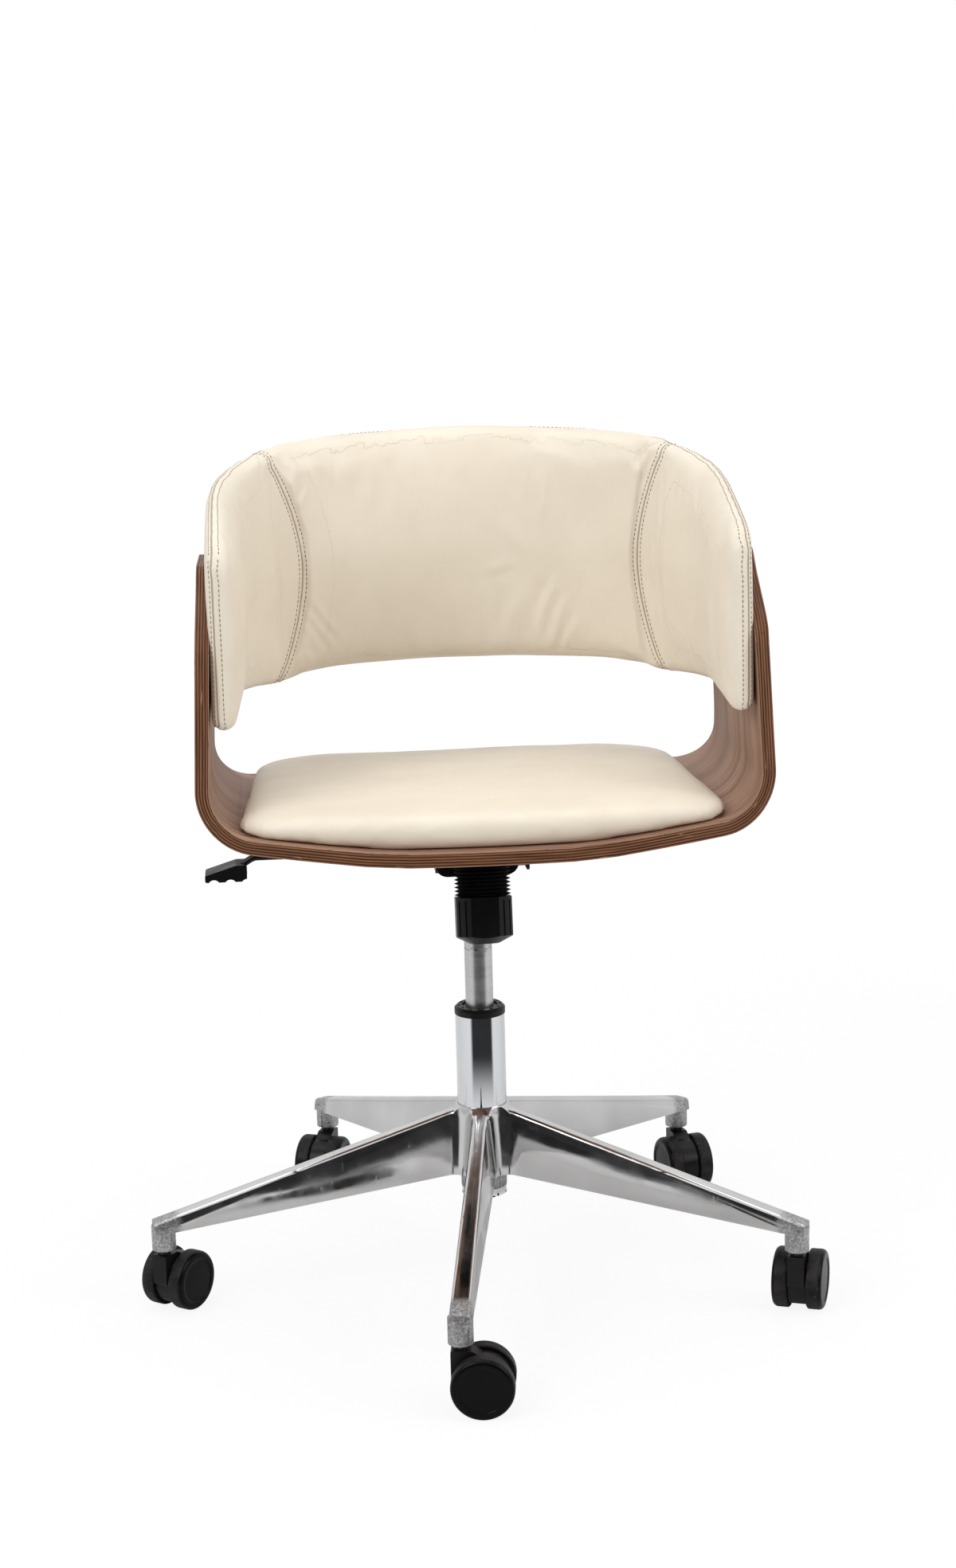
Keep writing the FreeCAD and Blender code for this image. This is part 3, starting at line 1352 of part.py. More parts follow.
def arm_relief(gap):
    """Two blocks that fill the arms and all outside them, moved out by a gap."""
    corners = in_numbers([("arm_front", "arm_start_height"), *ARM_TOP,
                          ("arm_rear", "arm_start_height")])
    reach = size("shell_half_width")
    side_view = rounded_wire(corners, lambda spot: FreeCAD.Vector(0, spot.x, spot.y))
    face = Part.Face(side_view.makeOffset2D(gap))
    across = size(f"shell_half_width - shell_thickness * (1 + {LEAN})") - gap
    lean = math.degrees(math.atan(size(LEAN)))
    blocks = []
    for side in (-1, 1):
        arm = face.extrude(FreeCAD.Vector(2 * side * reach, 0, 0))
        outside = Part.makeBox(reach, 4 * reach, 4 * reach,
                               FreeCAD.Vector(min(0, side * reach), -2 * reach, -2 * reach))
        outside.Placement = FreeCAD.Placement(
            FreeCAD.Vector(side * across, 0, size("shell_corner_height + shell_thickness")),
            FreeCAD.Rotation(FreeCAD.Vector(0, 1, 0), -side * lean))
        block = arm.common(outside)
        block.Placement = seat_placement()
        blocks.append(block)
    return blocks


def back_bolt_rods(radius, length):
    """The shanks of the four arm bolts as plain rods in the model's frame."""
    rods = []
    for side in (-1, 1):
        for back in ("back_bolt_front", "back_bolt_rear"):
            rod = Part.makeCylinder(radius, length, FreeCAD.Vector(0, 0, -length))
            rod.Placement = seat_placement().multiply(arm_bolt_frame(side, back))
            rods.append(rod)
    return rods


def build_back_pad():
    front = size("pad_front")
    pad = Part.makeLoft([pad_section(station) for station in pad_stations(front)], True, True)
    ends = [edge for edge in pad.Edges
            if edge.BoundBox.YMax < front + size("cut_overrun") / 2]
    pad = pad.makeFillet(size("pad_end_round"), ends)
    cover = size("pad_cover")
    thickness = size("panel_thickness")
    margin = size("panel_margin")
    gap = size("seating_gap")
    panel = Part.makeLoft([panel_section(station, cover, margin, thickness)
                           for station in pad_stations(front + margin)], True, True)
    room = Part.makeLoft([panel_section(station, cover - gap, margin - gap, thickness + 2 * gap)
                          for station in pad_stations(front + margin - gap)], True, True)
    pad = pad.cut(room)
    for block in arm_relief(gap):
        pad = pad.cut(block)
    length = size("back_bolt_length")
    for rod in back_bolt_rods(size("back_bolt_radius + seating_gap"), length):
        pad = pad.cut(rod)
    for rod in back_bolt_rods(size("back_bolt_radius + running_gap"), length + gap):
        panel = panel.cut(rod)
    new_feature("back_pad", pad)
    new_feature("back_panel", panel)


# Fasteners

def add_bolt(name, radius, length):
    """A cap bolt: shank below the origin, head above it with a six-sided socket."""
    shank = doc.addObject("Part::Cylinder", name + "_shank")
    shank.setExpression("Radius", bound(radius))
    shank.setExpression("Height", bound(length))
    shank.Placement.Base.z = -size(length)
    shank.setExpression(".Placement.Base.z", bound(f"-{length}"))
    head = doc.addObject("Part::Cylinder", name + "_head")
    head.setExpression("Radius", bound("bolt_cap_radius"))
    head.setExpression("Height", bound("bolt_cap_height"))
    whole = doc.addObject("Part::Fuse", name + "_whole")
    whole.Base = shank
    whole.Tool = head
    socket = doc.addObject("Part::Prism", name + "_socket")
    socket.setExpression("Polygon", bound("bolt_socket_sides"))
    socket.setExpression("Circumradius", bound("bolt_socket_radius"))
    socket.setExpression("Height", bound("bolt_socket_depth + cut_overrun"))
    socket.setExpression(".Placement.Base.z", bound("bolt_cap_height - bolt_socket_depth"))
    bolt = doc.addObject("Part::Cut", name)
    bolt.Base = whole
    bolt.Tool = socket
    return bolt


def build_bolts():
    seat_frame = seat_placement()
    seat_bolts = []
    for number, (across, back) in enumerate(seat_bolt_spots(), start=1):
        bolt = add_bolt(f"seat_bolt_{number}", "seat_bolt_radius", "seat_bolt_length")
        spot = FreeCAD.Placement(
            FreeCAD.Vector(size(across), size(back), -size("plate_thickness")),
            FreeCAD.Rotation(FreeCAD.Vector(1, 0, 0), HALF_TURN))
        bolt.Placement = seat_frame.multiply(spot)
        seat_bolts.append(bolt)
    back_bolts = []
    for side in (-1, 1):
        for back in ("back_bolt_front", "back_bolt_rear"):
            bolt = add_bolt(f"arm_bolt_{len(back_bolts) + 1}", "back_bolt_radius",
                            "back_bolt_length")
            bolt.Placement = seat_frame.multiply(arm_bolt_frame(side, back))
            back_bolts.append(bolt)
    for label, bolts in (("seat_bolts", seat_bolts), ("back_bolts", back_bolts)):
        group = doc.addObject("Part::Compound", label)
        group.Label = label
        group.Links = bolts


# Casters

CASTERS = ("front", "right", "rear_right", "rear_left", "left")


def build_caster(number, name):
    where = f"(({HALF_TURN} + {number} * {FULL_TURN} / leg_count + base_turn) * 1 deg)"
    spot = {"base": (f"(caster_circle_radius * cos({where}))",
                     f"(caster_circle_radius * sin({where}))", "0"),
            "angle": f"{name}_caster_turn"}
    label = "caster_" + name
    stem = turned_body(label + "_stem", [
        ("0", "stem_foot_height"),
        ("neck_radius", "stem_foot_height"),
        ("neck_radius", "socket_bottom_height - free_gap"),
        ("stem_radius", "socket_bottom_height - free_gap"),
        ("stem_radius", "socket_bottom_height + stem_length - stem_bevel"),
        ("stem_radius - stem_bevel", "socket_bottom_height + stem_length"),
        ("0", "socket_bottom_height + stem_length"),
    ])
    housing = new_body(label + "_housing")
    disc = new_sketch(housing, label + "_disc_outline", "XZ_Plane")
    add_circle(disc, "caster_trail", "wheel_radius", "housing_radius")
    extrude(housing, "Pad", label + "_disc", disc, "housing_width", both_ways=True)
    neck = new_sketch(housing, label + "_neck_outline", "XZ_Plane")
    add_outline(neck, [
        ("-housing_neck_front", "wheel_radius", "housing_round"),
        ("caster_trail", "wheel_radius"),
        ("caster_trail", "wheel_radius + housing_radius"),
        ("housing_neck_front", "housing_neck_height", "housing_round"),
        ("-housing_neck_front", "housing_neck_height", "housing_round / 2")])
    extrude(housing, "Pad", label + "_neck", neck, "housing_width", both_ways=True)
    foot = new_sketch(housing, label + "_foot_outline", "XZ_Plane")
    add_outline(foot, [
        ("-wheel_radius", "-cut_overrun"), ("caster_trail + wheel_radius", "-cut_overrun"),
        ("caster_trail + wheel_radius", "housing_ground_gap"),
        ("-wheel_radius", "housing_ground_gap")])
    extrude(housing, "Pocket", label + "_foot", foot, "2 * housing_width", both_ways=True)
    bore = new_sketch(housing, label + "_bore_outline", "XY_Plane", "housing_neck_height")
    add_circle(bore, "0", "0", "neck_radius + running_gap")
    extrude(housing, "Pocket", label + "_bore", bore,
            "housing_neck_height - stem_foot_height + running_gap")
    axle_hole = new_sketch(housing, label + "_axle_hole_outline", "XZ_Plane")
    add_circle(axle_hole, "caster_trail", "wheel_radius", "axle_radius + running_gap")
    extrude(housing, "Pocket", label + "_axle_hole", axle_hole, "2 * housing_width",
            both_ways=True)
    axle = new_body(label + "_axle")
    rod = new_sketch(axle, label + "_axle_outline", "XZ_Plane")
    add_circle(rod, "caster_trail", "wheel_radius", "axle_radius")
    extrude(axle, "Pad", label + "_axle_rod", rod, "2 * axle_half_length", both_ways=True)
    wheels = []
    for side, sign in (("left", ""), ("right", "-")):
        wheel = new_body(f"{label}_wheel_{side}")
        face = "(wheel_start + wheel_width)"
        blind = "(axle_half_length + free_gap)"
        recess = f"({face} - wheel_face_recess)"
        corners = [
            ("axle_radius + running_gap", "wheel_start"),
            ("wheel_radius - wheel_inner_bevel", "wheel_start"),
            ("wheel_radius", "(wheel_start + wheel_inner_bevel)"),
            ("wheel_radius", f"({face} - wheel_shoulder)"),
            ("wheel_radius - wheel_shoulder_bow", f"({face} - wheel_shoulder_bow)"),
            ("wheel_radius - wheel_shoulder", face),
            ("wheel_face_radius", face),
            ("wheel_face_radius - wheel_face_recess", recess),
            ("wheel_hub_radius", recess),
            ("wheel_hub_radius - wheel_face_recess", f"{face} - wheel_face_recess / 2"),
            ("0", f"{face} - wheel_face_recess / 2"),
            ("0", blind),
            ("axle_radius + running_gap", blind)]
        across = [(f"caster_trail + {corner[0]}", f"{sign}{corner[1]}") + corner[2:]
                  for corner in corners]
        outline = new_sketch(wheel, f"{label}_{side}_outline", "XY_Plane", "wheel_radius")
        add_outline(outline, across)
        axis = outline.addGeometry(Part.LineSegment(
            FreeCAD.Vector(size("caster_trail"), 0, 0),
            FreeCAD.Vector(size("caster_trail"), size("wheel_width"), 0)), True)
        outline.addConstraint(Sketcher.Constraint("Vertical", axis))
        pin_point(outline, axis, 1, "caster_trail", "0")
        pin_length = outline.addConstraint(Sketcher.Constraint(
            "Distance", axis, size("wheel_width")))
        outline.setExpression(f"Constraints[{pin_length}]", bound("wheel_width"))
        turned = wheel.newObject("PartDesign::Revolution", f"{label}_{side}_turned")
        turned.Profile = outline
        turned.ReferenceAxis = (outline, ["Axis0"])
        turned.Angle = FULL_TURN
        wheels.append(wheel)
    for item in [stem, housing, axle] + wheels:
        place(item, **spot)


def build_casters():
    for number, name in enumerate(CASTERS):
        build_caster(number, name)


for build in (build_star_base, build_column, build_gas_lift, build_mechanism_body,
              build_pivot_pin, build_seat_plate, build_tension_bolt, build_tension_spring,
              build_bellows, build_knob, build_lever, build_handle, build_seat_shell,
              build_cushion_board, build_seat_cushion, build_back_pad, build_bolts,
              build_casters):
    build()
doc.recompute()

for item in doc.Objects:
    if "Invalid" in item.State or "Error" in item.State:
        raise RuntimeError(f"{item.Name} did not compute")

os.makedirs("parts", exist_ok=True)
for item in doc.Objects:
    if item.TypeId not in ("PartDesign::Body", "Part::Feature", "Part::Compound"):
        continue
    if item.Shape.isNull() or not item.Shape.isValid():
        raise RuntimeError(f"{item.Label} is not a sound solid")
    item.Shape.exportStep(f"parts/{item.Label}.step")
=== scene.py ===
import json
import math

import bmesh
import bpy
import numpy as np
from mathutils import Matrix, Vector, noise
from mathutils.bvhtree import BVHTree
from mathutils.kdtree import KDTree


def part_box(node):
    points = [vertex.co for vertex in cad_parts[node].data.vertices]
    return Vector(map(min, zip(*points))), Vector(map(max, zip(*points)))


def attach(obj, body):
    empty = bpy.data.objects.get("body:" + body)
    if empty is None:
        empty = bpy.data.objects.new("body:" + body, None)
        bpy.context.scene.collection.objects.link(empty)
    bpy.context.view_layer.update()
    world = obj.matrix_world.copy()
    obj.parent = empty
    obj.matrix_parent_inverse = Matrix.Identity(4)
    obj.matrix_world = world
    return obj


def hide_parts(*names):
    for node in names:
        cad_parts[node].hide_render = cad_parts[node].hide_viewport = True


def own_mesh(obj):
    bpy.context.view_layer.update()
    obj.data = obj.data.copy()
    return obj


# Office chair. Metres, +Z up, front towards -Y. Shapes below repeat the solids' own formulas.

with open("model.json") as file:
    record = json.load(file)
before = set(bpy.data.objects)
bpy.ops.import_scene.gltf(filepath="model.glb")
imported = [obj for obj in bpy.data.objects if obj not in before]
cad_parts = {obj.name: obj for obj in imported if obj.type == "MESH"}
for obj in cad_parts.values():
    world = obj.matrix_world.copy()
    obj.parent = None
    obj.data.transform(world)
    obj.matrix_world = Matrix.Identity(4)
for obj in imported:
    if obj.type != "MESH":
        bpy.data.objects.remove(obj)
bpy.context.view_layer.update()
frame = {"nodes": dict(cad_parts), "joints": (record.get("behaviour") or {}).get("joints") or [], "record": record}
nodes = frame["nodes"]
scene = bpy.context.scene
MM = 0.001


# Camera: pitch, yaw and roll at its place, then a turn of the whole about the upright axis

CAMERA_PITCH, CAMERA_YAW, CAMERA_ROLL = 0.2223, 0.0027, math.radians(-1.5)
CAMERA_TURN = math.radians(-3.6)
CAMERA_PLACE = (-0.0035, -2.84947, 1.16139)
LENS_WIDTHS = 3694.18 / 1200
SENSOR_WIDTH = 36
CAMERA_REACH = 60


def aim_camera():
    camera = bpy.data.objects.new("camera", bpy.data.cameras.new("camera"))
    scene.collection.objects.link(camera)
    view = (Matrix.Rotation(-CAMERA_YAW, 4, "Z")
            @ Matrix.Rotation(math.pi / 2 - CAMERA_PITCH, 4, "X")
            @ Matrix.Rotation(CAMERA_ROLL, 4, "Z"))
    camera.matrix_world = (Matrix.Rotation(CAMERA_TURN, 4, "Z")
                           @ Matrix.Translation(CAMERA_PLACE) @ view)
    camera.data.sensor_fit = "HORIZONTAL"
    camera.data.sensor_width = SENSOR_WIDTH
    camera.data.lens = LENS_WIDTHS * SENSOR_WIDTH
    camera.data.clip_end = CAMERA_REACH
    scene.camera = camera


aim_camera()


# Sizes shared with the solids, in the seat's own frame

SEAT_FRAME = Matrix.Translation((0, 0, 0.4835)) @ Matrix.Rotation(math.radians(-3), 4, "X")
TO_SEAT = SEAT_FRAME.inverted()
SHELL_HALF_WIDTH = 0.272
SHELL_TOP = 0.272
SHELL_THICKNESS = 0.013
CORNER_HEIGHT = 0.0177
CORNER_RADIUS = 0.057
LEAN = 0.0111 / (SHELL_TOP - CORNER_HEIGHT)
PAN_LEVEL, PAN_SLOPE = 0.0945, 0.1


# Shader helpers

class NodeTree:
    """A node tree and the few nodes that this script puts in it."""

    def __init__(self, tree):
        self.tree = tree
        self.coordinates = self.node("ShaderNodeTexCoord")
        self.place = self.coordinates.outputs["Object"]

    def node(self, kind, inputs=None, **settings):
        """A node with its settings made, then its inputs fed, by their names or numbers."""
        made = self.tree.nodes.new(kind)
        for name, value in settings.items():
            setattr(made, name, value)
        for name, value in (inputs or {}).items():
            self.feed(made.inputs[name], value)
        return made

    def feed(self, socket, value):
        if isinstance(value, bpy.types.NodeSocket):
            self.tree.links.new(value, socket)
        elif isinstance(value, tuple) and len(value) == 3 and socket.type == "RGBA":
            socket.default_value = (*value, 1)
        else:
            socket.default_value = value

    def attribute(self, name, output):
        return self.node("ShaderNodeAttribute", attribute_name=name).outputs[output]

    def parts(self, vector):
        return tuple(self.node("ShaderNodeSeparateXYZ", {0: vector}).outputs)

    def joined(self, *values):
        return self.node("ShaderNodeCombineXYZ", dict(enumerate(values))).outputs[0]

    def length(self, vector):
        return self.node("ShaderNodeVectorMath", {0: vector}, operation="LENGTH").outputs["Value"]

    def stretch(self, vector, scale, turn=(0, 0, 0)):
        return self.node("ShaderNodeMapping", {
            "Vector": vector, "Scale": scale, "Rotation": turn}).outputs["Vector"]

    def noise(self, scale, detail=3, rough=0.5, vector=None, distortion=0):
        return self.node("ShaderNodeTexNoise", {
            "Vector": self.place if vector is None else vector, "Scale": scale,
            "Detail": detail, "Roughness": rough, "Distortion": distortion}).outputs["Fac"]

    def cells(self, scale):
        return self.node("ShaderNodeTexVoronoi", {"Vector": self.place, "Scale": scale},
                         feature="F1").outputs["Distance"]

    def ramp(self, value, *stops):
        """A colour, or a grey where a stop gives one number, by a value from 0 to 1."""
        made = self.node("ShaderNodeValToRGB", {"Fac": value})
        points = made.color_ramp.elements
        while len(points) < len(stops):
            points.new(0.5)
        for point, (spot, colour) in zip(points, stops):
            point.position = spot
            point.color = (*colour, 1) if isinstance(colour, tuple) else (colour,) * 3 + (1,)
        return made.outputs["Color"]

    def span(self, value, low, high, first=0.0, last=1.0, smooth=False):
        """A value between low and high as one between first and last, held outside."""
        return self.node("ShaderNodeMapRange", {
            "Value": value, "From Min": low, "From Max": high, "To Min": first, "To Max": last},
            interpolation_type="SMOOTHSTEP" if smooth else "LINEAR").outputs["Result"]

    def maths(self, kind, first, second=0.0):
        return self.node("ShaderNodeMath", {0: first, 1: second}, operation=kind).outputs["Value"]

    def plus(self, first, second):
        return self.maths("ADD", first, second)

    def times(self, first, second):
        return self.maths("MULTIPLY", first, second)

    def beyond(self, value, level):
        """How far a value is from a level, either way."""
        return self.maths("ABSOLUTE", self.maths("SUBTRACT", value, level))

    def mix(self, share, first, second):
        """Two colours mixed, by the node's sockets for colours."""
        return self.node("ShaderNodeMix", {0: share, 6: first, 7: second},
                         data_type="RGBA").outputs[2]

    def bump(self, height, strength, distance, under=None, invert=False):
        inputs = {"Height": height, "Strength": strength, "Distance": distance}
        if under is not None:
            inputs["Normal"] = under
        return self.node("ShaderNodeBump", inputs, invert=invert).outputs["Normal"]


class Shader(NodeTree):
    """A material with one surface shader."""

    def __init__(self, name):
        self.material = bpy.data.materials.new(name)
        self.material.use_nodes = True
        super().__init__(self.material.node_tree)
        self.surface = self.tree.nodes["Principled BSDF"]

    def set(self, **values):
        for name, value in values.items():
            self.feed(self.surface.inputs[name.replace("_", " ")], value)


# Materials

def polished_aluminium():
    """Hand-polished casting: wavy, with fine scratches and a dull, pitted end to each leg."""
    made = Shader("polished_aluminium")
    worn_from, worn_to = 0.31, 0.322
    reach = made.length(made.stretch(made.place, (1, 1, 0)))
    tip = made.span(reach, worn_from, worn_to, 0, 1, True)
    cloud = made.noise(9, 3, 0.55)
    haze = made.noise(26, 4, 0.6)
    scratch = made.span(made.noise(240, 3, 0.7, made.stretch(made.place, (1, 1, 0.2))),
                        0.62, 0.72, 0, 1)
    pits = made.noise(420, 3, 0.6)
    tone = made.ramp(cloud, (0.3, (0.55, 0.545, 0.545)), (0.7, (0.7, 0.7, 0.7)))
    worn = made.ramp(pits, (0.4, (0.16, 0.16, 0.16)), (0.65, (0.5, 0.5, 0.5)))
    rough = made.plus(made.span(haze, 0.35, 0.7, 0.07, 0.2), made.times(scratch, 0.12))
    made.set(Metallic=1.0, Base_Color=made.mix(made.times(tip, 0.75), tone, worn),
             Roughness=made.plus(rough, made.times(tip, 0.3)),
             Normal=made.bump(made.times(tip, pits), 0.5, 0.0008, made.bump(cloud, 0.16, 0.006)))
    return made.material


def bright_chrome():
    made = Shader("bright_chrome")
    made.set(Metallic=1.0, Base_Color=(0.7, 0.72, 0.74),
             Roughness=made.span(made.noise(40, 3, 0.5), 0.3, 0.8, 0.03, 0.09))
    return made.material


def lift_steel():
    """Ground steel with a scuffed band where the cylinder has run in its collar."""
    made = Shader("lift_steel")
    band_height, band_inside, band_outside = 0.352, 0.001, 0.007
    rings = made.noise(260, 3, 0.6, made.stretch(made.place, (0.15, 0.15, 1)))
    marks = made.noise(420, 4, 0.7, made.stretch(made.place, (0.5, 0.5, 1.4)))
    near = made.beyond(made.parts(made.place)[2], band_height)
    band = made.span(near, band_inside, band_outside, 1, 0, True)
    scuff = made.times(band, made.span(marks, 0.52, 0.62, 0, 1))
    tone = made.ramp(rings, (0.35, (0.54, 0.54, 0.55)), (0.65, (0.62, 0.62, 0.63)))
    made.set(Metallic=1.0, Base_Color=made.mix(scuff, tone, (0.1, 0.1, 0.1)),
             Roughness=made.span(rings, 0.3, 0.7, 0.32, 0.38))
    return made.material


def plain_steel():
    made = Shader("plain_steel")
    tone = made.ramp(made.noise(80), (0.3, (0.45, 0.45, 0.46)), (0.7, (0.6, 0.6, 0.61)))
    made.set(Metallic=1.0, Base_Color=tone,
             Roughness=made.span(made.noise(50, 4, 0.6), 0.3, 0.7, 0.25, 0.4))
    return made.material


def black(name, clouds, tones, specular, haze, rough, grain, relief):
    """A black finish: faint clouds, a varied haze and a fine grain."""
    made = Shader(name)
    made.set(Base_Color=made.ramp(made.noise(clouds), (0.3, tones[0]), (0.7, tones[1])),
             Specular_IOR_Level=specular,
             Roughness=made.span(made.noise(*haze), 0.3, 0.7, *rough),
             Normal=made.bump(made.noise(grain, 2, 0.5), *relief))
    return made.material


def black_metal():
    return black("black_metal", clouds=25, tones=((0.004, 0.004, 0.005), (0.009, 0.009, 0.01)),
                 specular=0.25, haze=(60, 4, 0.6), rough=(0.2, 0.34), grain=900,
                 relief=(0.08, 0.0003))


def black_plastic():
    return black("black_plastic", clouds=18,
                 tones=((0.004, 0.004, 0.0045), (0.008, 0.008, 0.009)), specular=0.18,
                 haze=(45, 4, 0.6), rough=(0.26, 0.4), grain=1400, relief=(0.1, 0.0003))


def black_rubber():
    return black("black_rubber", clouds=22,
                 tones=((0.004, 0.004, 0.004), (0.009, 0.009, 0.009)), specular=0.3,
                 haze=(60, 3, 0.6), rough=(0.42, 0.58), grain=800, relief=(0.1, 0.0004))


def wheel_plastic():
    """Smooth black faces and a dusty tread with pale specks."""
    made = Shader("wheel_plastic")
    tread = made.attribute("tread", "Fac")
    dust = made.times(tread, made.span(made.noise(55, 5, 0.7), 0.35, 0.7, 0.15, 1))
    base = made.mix(dust, (0.0025, 0.0025, 0.003), (0.032, 0.028, 0.028))
    speck = made.times(tread, made.span(made.noise(700, 2, 0.5), 0.7, 0.74, 0, 1))
    made.set(Base_Color=made.mix(speck, base, (0.2, 0.18, 0.16)), Specular_IOR_Level=0.1,
             Roughness=made.span(dust, 0, 1, 0.24, 0.6),
             Normal=made.bump(made.noise(600, 3, 0.6), 0.08, 0.0004))
    return made.material


def plain_plywood():
    made = Shader("plain_plywood")
    grain = made.noise(40, 5, 0.6, made.stretch(made.place, (1, 9, 9)))
    made.set(Base_Color=made.ramp(grain, (0.3, (0.36, 0.25, 0.15)), (0.7, (0.6, 0.46, 0.3))),
             Roughness=0.7, Normal=made.bump(grain, 0.2, 0.0006))
    return made.material


def walnut_veneer():
    """Grain runs along the bent band; the edges show the plies."""
    made = Shader("walnut_veneer")
    board = made.attribute("board", "Vector")
    along, back, depth = made.parts(board)
    face = made.joined(along, back)

    wander = made.noise(3.2, 3, 0.55, made.stretch(face, (0.6, 1.3, 1)))
    bent = made.joined(along, made.plus(back, made.span(wander, 0, 1, -0.03, 0.03)))
    lines = made.noise(70, 5, 0.62, made.stretch(bent, (0.045, 2.2, 1)))
    broad = made.noise(16, 3, 0.5, made.stretch(bent, (0.06, 1.6, 1)))
    pores = made.noise(420, 2, 0.6, made.stretch(bent, (0.05, 2.4, 1)))
    tone = made.plus(made.times(lines, 0.6), made.times(broad, 0.4))
    flat = made.ramp(tone, (0.36, (0.16, 0.082, 0.052)), (0.5, (0.31, 0.178, 0.12)),
                     (0.64, (0.44, 0.28, 0.2)))
    flat = made.mix(made.span(pores, 0.54, 0.66, 0, 0.65), flat, (0.075, 0.038, 0.026))

    wave = made.span(made.noise(9, 2, 0.5, face), 0, 1, -0.0005, 0.0005)
    ply_pair = 0.0026
    turns = made.times(made.plus(depth, wave), 2 * math.pi / ply_pair)
    stripe = made.span(made.maths("SINE", turns), -1, 1, 0, 1)
    fine = made.noise(260, 4, 0.65, made.stretch(board, (0.05, 0, 3)))
    chips = made.noise(90, 2, 0.6, made.stretch(board, (0.35, 0, 6)))
    plies = made.ramp(made.plus(made.times(stripe, 0.3), made.times(fine, 0.7)),
                      (0.34, (0.04, 0.014, 0.007)), (0.5, (0.12, 0.048, 0.023)),
                      (0.68, (0.24, 0.112, 0.053)))
    plies = made.mix(made.span(chips, 0.68, 0.72, 0, 0.8), plies, (0.5, 0.3, 0.15))

    middle = SHELL_THICKNESS / 2
    inside = made.maths("SUBTRACT", middle, made.beyond(depth, middle))
    cut = made.span(inside, 0.0003, 0.0008, 0, 1, True)
    made.set(Base_Color=made.mix(cut, flat, plies), Specular_IOR_Level=0.16,
             Roughness=made.span(lines, 0.3, 0.7, 0.4, 0.55),
             Normal=made.bump(made.plus(lines, made.times(pores, 0.6)), 0.22, 0.0006))
    return made.material


def cream_leather():
    """Pebbled leather with painted shade along the grooves of its seams, and creases that fan out beside them."""
    made = Shader("cream_leather")
    cloud = made.noise(7, 4, 0.55)
    soil = made.noise(30, 5, 0.6)
    base = made.ramp(cloud, (0.3, (0.73, 0.652, 0.535)), (0.7, (0.81, 0.738, 0.62)))
    base = made.mix(made.span(soil, 0.55, 0.8, 0, 0.22), base, (0.62, 0.53, 0.41))
    seam = made.maths("ABSOLUTE", made.attribute("seam", "Fac"))
    # Painted shade: the colour darkens to brown along the groove of each seam
    line = made.span(seam, 0.0003, 0.0011, 1, 0, True)
    base = made.mix(made.times(line, 0.75), base, (0.3, 0.22, 0.15))

    pebble = made.plus(made.cells(900), made.times(made.noise(1500, 3, 0.6), 0.5))
    creases = made.noise(90, 4, 0.65, made.stretch(made.place, (1.4, 1, 0.5)), 0.6)
    fan = made.noise(150, 3, 0.6, made.stretch(made.place, (1, 1, 0.16), (0, 0.6, 0)))
    beside = made.times(made.span(seam, 0.004, 0.034, 1, 0, True),
                        made.span(made.noise(16, 2, 0.5), 0.42, 0.62, 0, 1))
    relief = made.bump(pebble, 0.16, 0.0004)
    relief = made.bump(creases, 0.12, 0.0016, relief)
    relief = made.bump(made.times(fan, beside), 0.55, 0.0012, relief)
    made.set(Base_Color=base, Roughness=made.span(soil, 0.3, 0.7, 0.42, 0.55),
             Sheen_Weight=0.08, Sheen_Roughness=0.4, Specular_IOR_Level=0.4,
             Normal=made.bump(line, 0.9, 0.0009, relief, invert=True))
    return made.material


def brown_thread():
    made = Shader("brown_thread")
    tone = made.ramp(made.noise(900, 2), (0.3, (0.12, 0.066, 0.036)),
                     (0.7, (0.24, 0.145, 0.085)))
    made.set(Base_Color=tone, Roughness=0.7, Sheen_Weight=0.2)
    return made.material


FINISH = {make.__name__: make() for make in (
    polished_aluminium, bright_chrome, lift_steel, plain_steel, black_metal, black_plastic,
    wheel_plastic, black_rubber, plain_plywood, walnut_veneer, cream_leather, brown_thread)}


def paint(thing, finish, crease=None):
    """A finish, and smooth shading up to a crease's angle where one is given."""
    thing.data.materials.clear()
    thing.data.materials.append(FINISH[finish])
    if crease is not None:
        thing.data.shade_smooth()
        thing.data.set_sharp_from_angle(angle=math.radians(crease))
    return thing


for entry in frame["record"]["subparts"]:
    paint(nodes[entry["node"]], entry["material_slot"])
paint(nodes["gas_cylinder"], "lift_steel")


# Lines, meshes and their vertices

def array_of(spots):
    return np.array([tuple(spot) for spot in spots])


def run_of(line):
    """The distance along an open line at each of its points."""
    return np.concatenate([[0], np.cumsum(np.linalg.norm(np.diff(line, axis=0), axis=1))])


def resampled(line, wanted):
    """The points of an open line at the wanted distances along it."""
    reached = run_of(line)
    return np.stack([np.interp(wanted, reached, line[:, axis])
                     for axis in range(line.shape[1])], axis=1)


def even(line, count):
    """The same closed line with evenly spaced points."""
    spots = array_of(line)
    closed = np.vstack([spots, spots[:1]])
    return resampled(closed, np.linspace(0, run_of(closed)[-1], count, endpoint=False))


def rounded(corners, step=0.002):
    """A closed line through corners (across, up, radius) with its corners as arcs."""
    spots = [Vector(corner[:2]) for corner in corners]
    line = []
    for index, corner in enumerate(corners):
        here = spots[index]
        radius = corner[2] if len(corner) > 2 else 0
        if not radius:
            line.append(here)
            continue
        before = (spots[index - 1] - here).normalized()
        after = (spots[(index + 1) % len(spots)] - here).normalized()
        half = before.angle(after) / 2
        centre = here + (before + after).normalized() * (radius / math.sin(half))
        first = here + before * (radius / math.tan(half)) - centre
        last = here + after * (radius / math.tan(half)) - centre
        sweep = first.angle_signed(last)
        count = max(3, int(abs(sweep) * radius / step))
        line += [centre + Matrix.Rotation(-sweep * share, 2) @ first
                 for share in np.linspace(0, 1, count + 1)]
    return line


def circle_turns(count):
    return np.linspace(0, 2 * math.pi, count, endpoint=False)


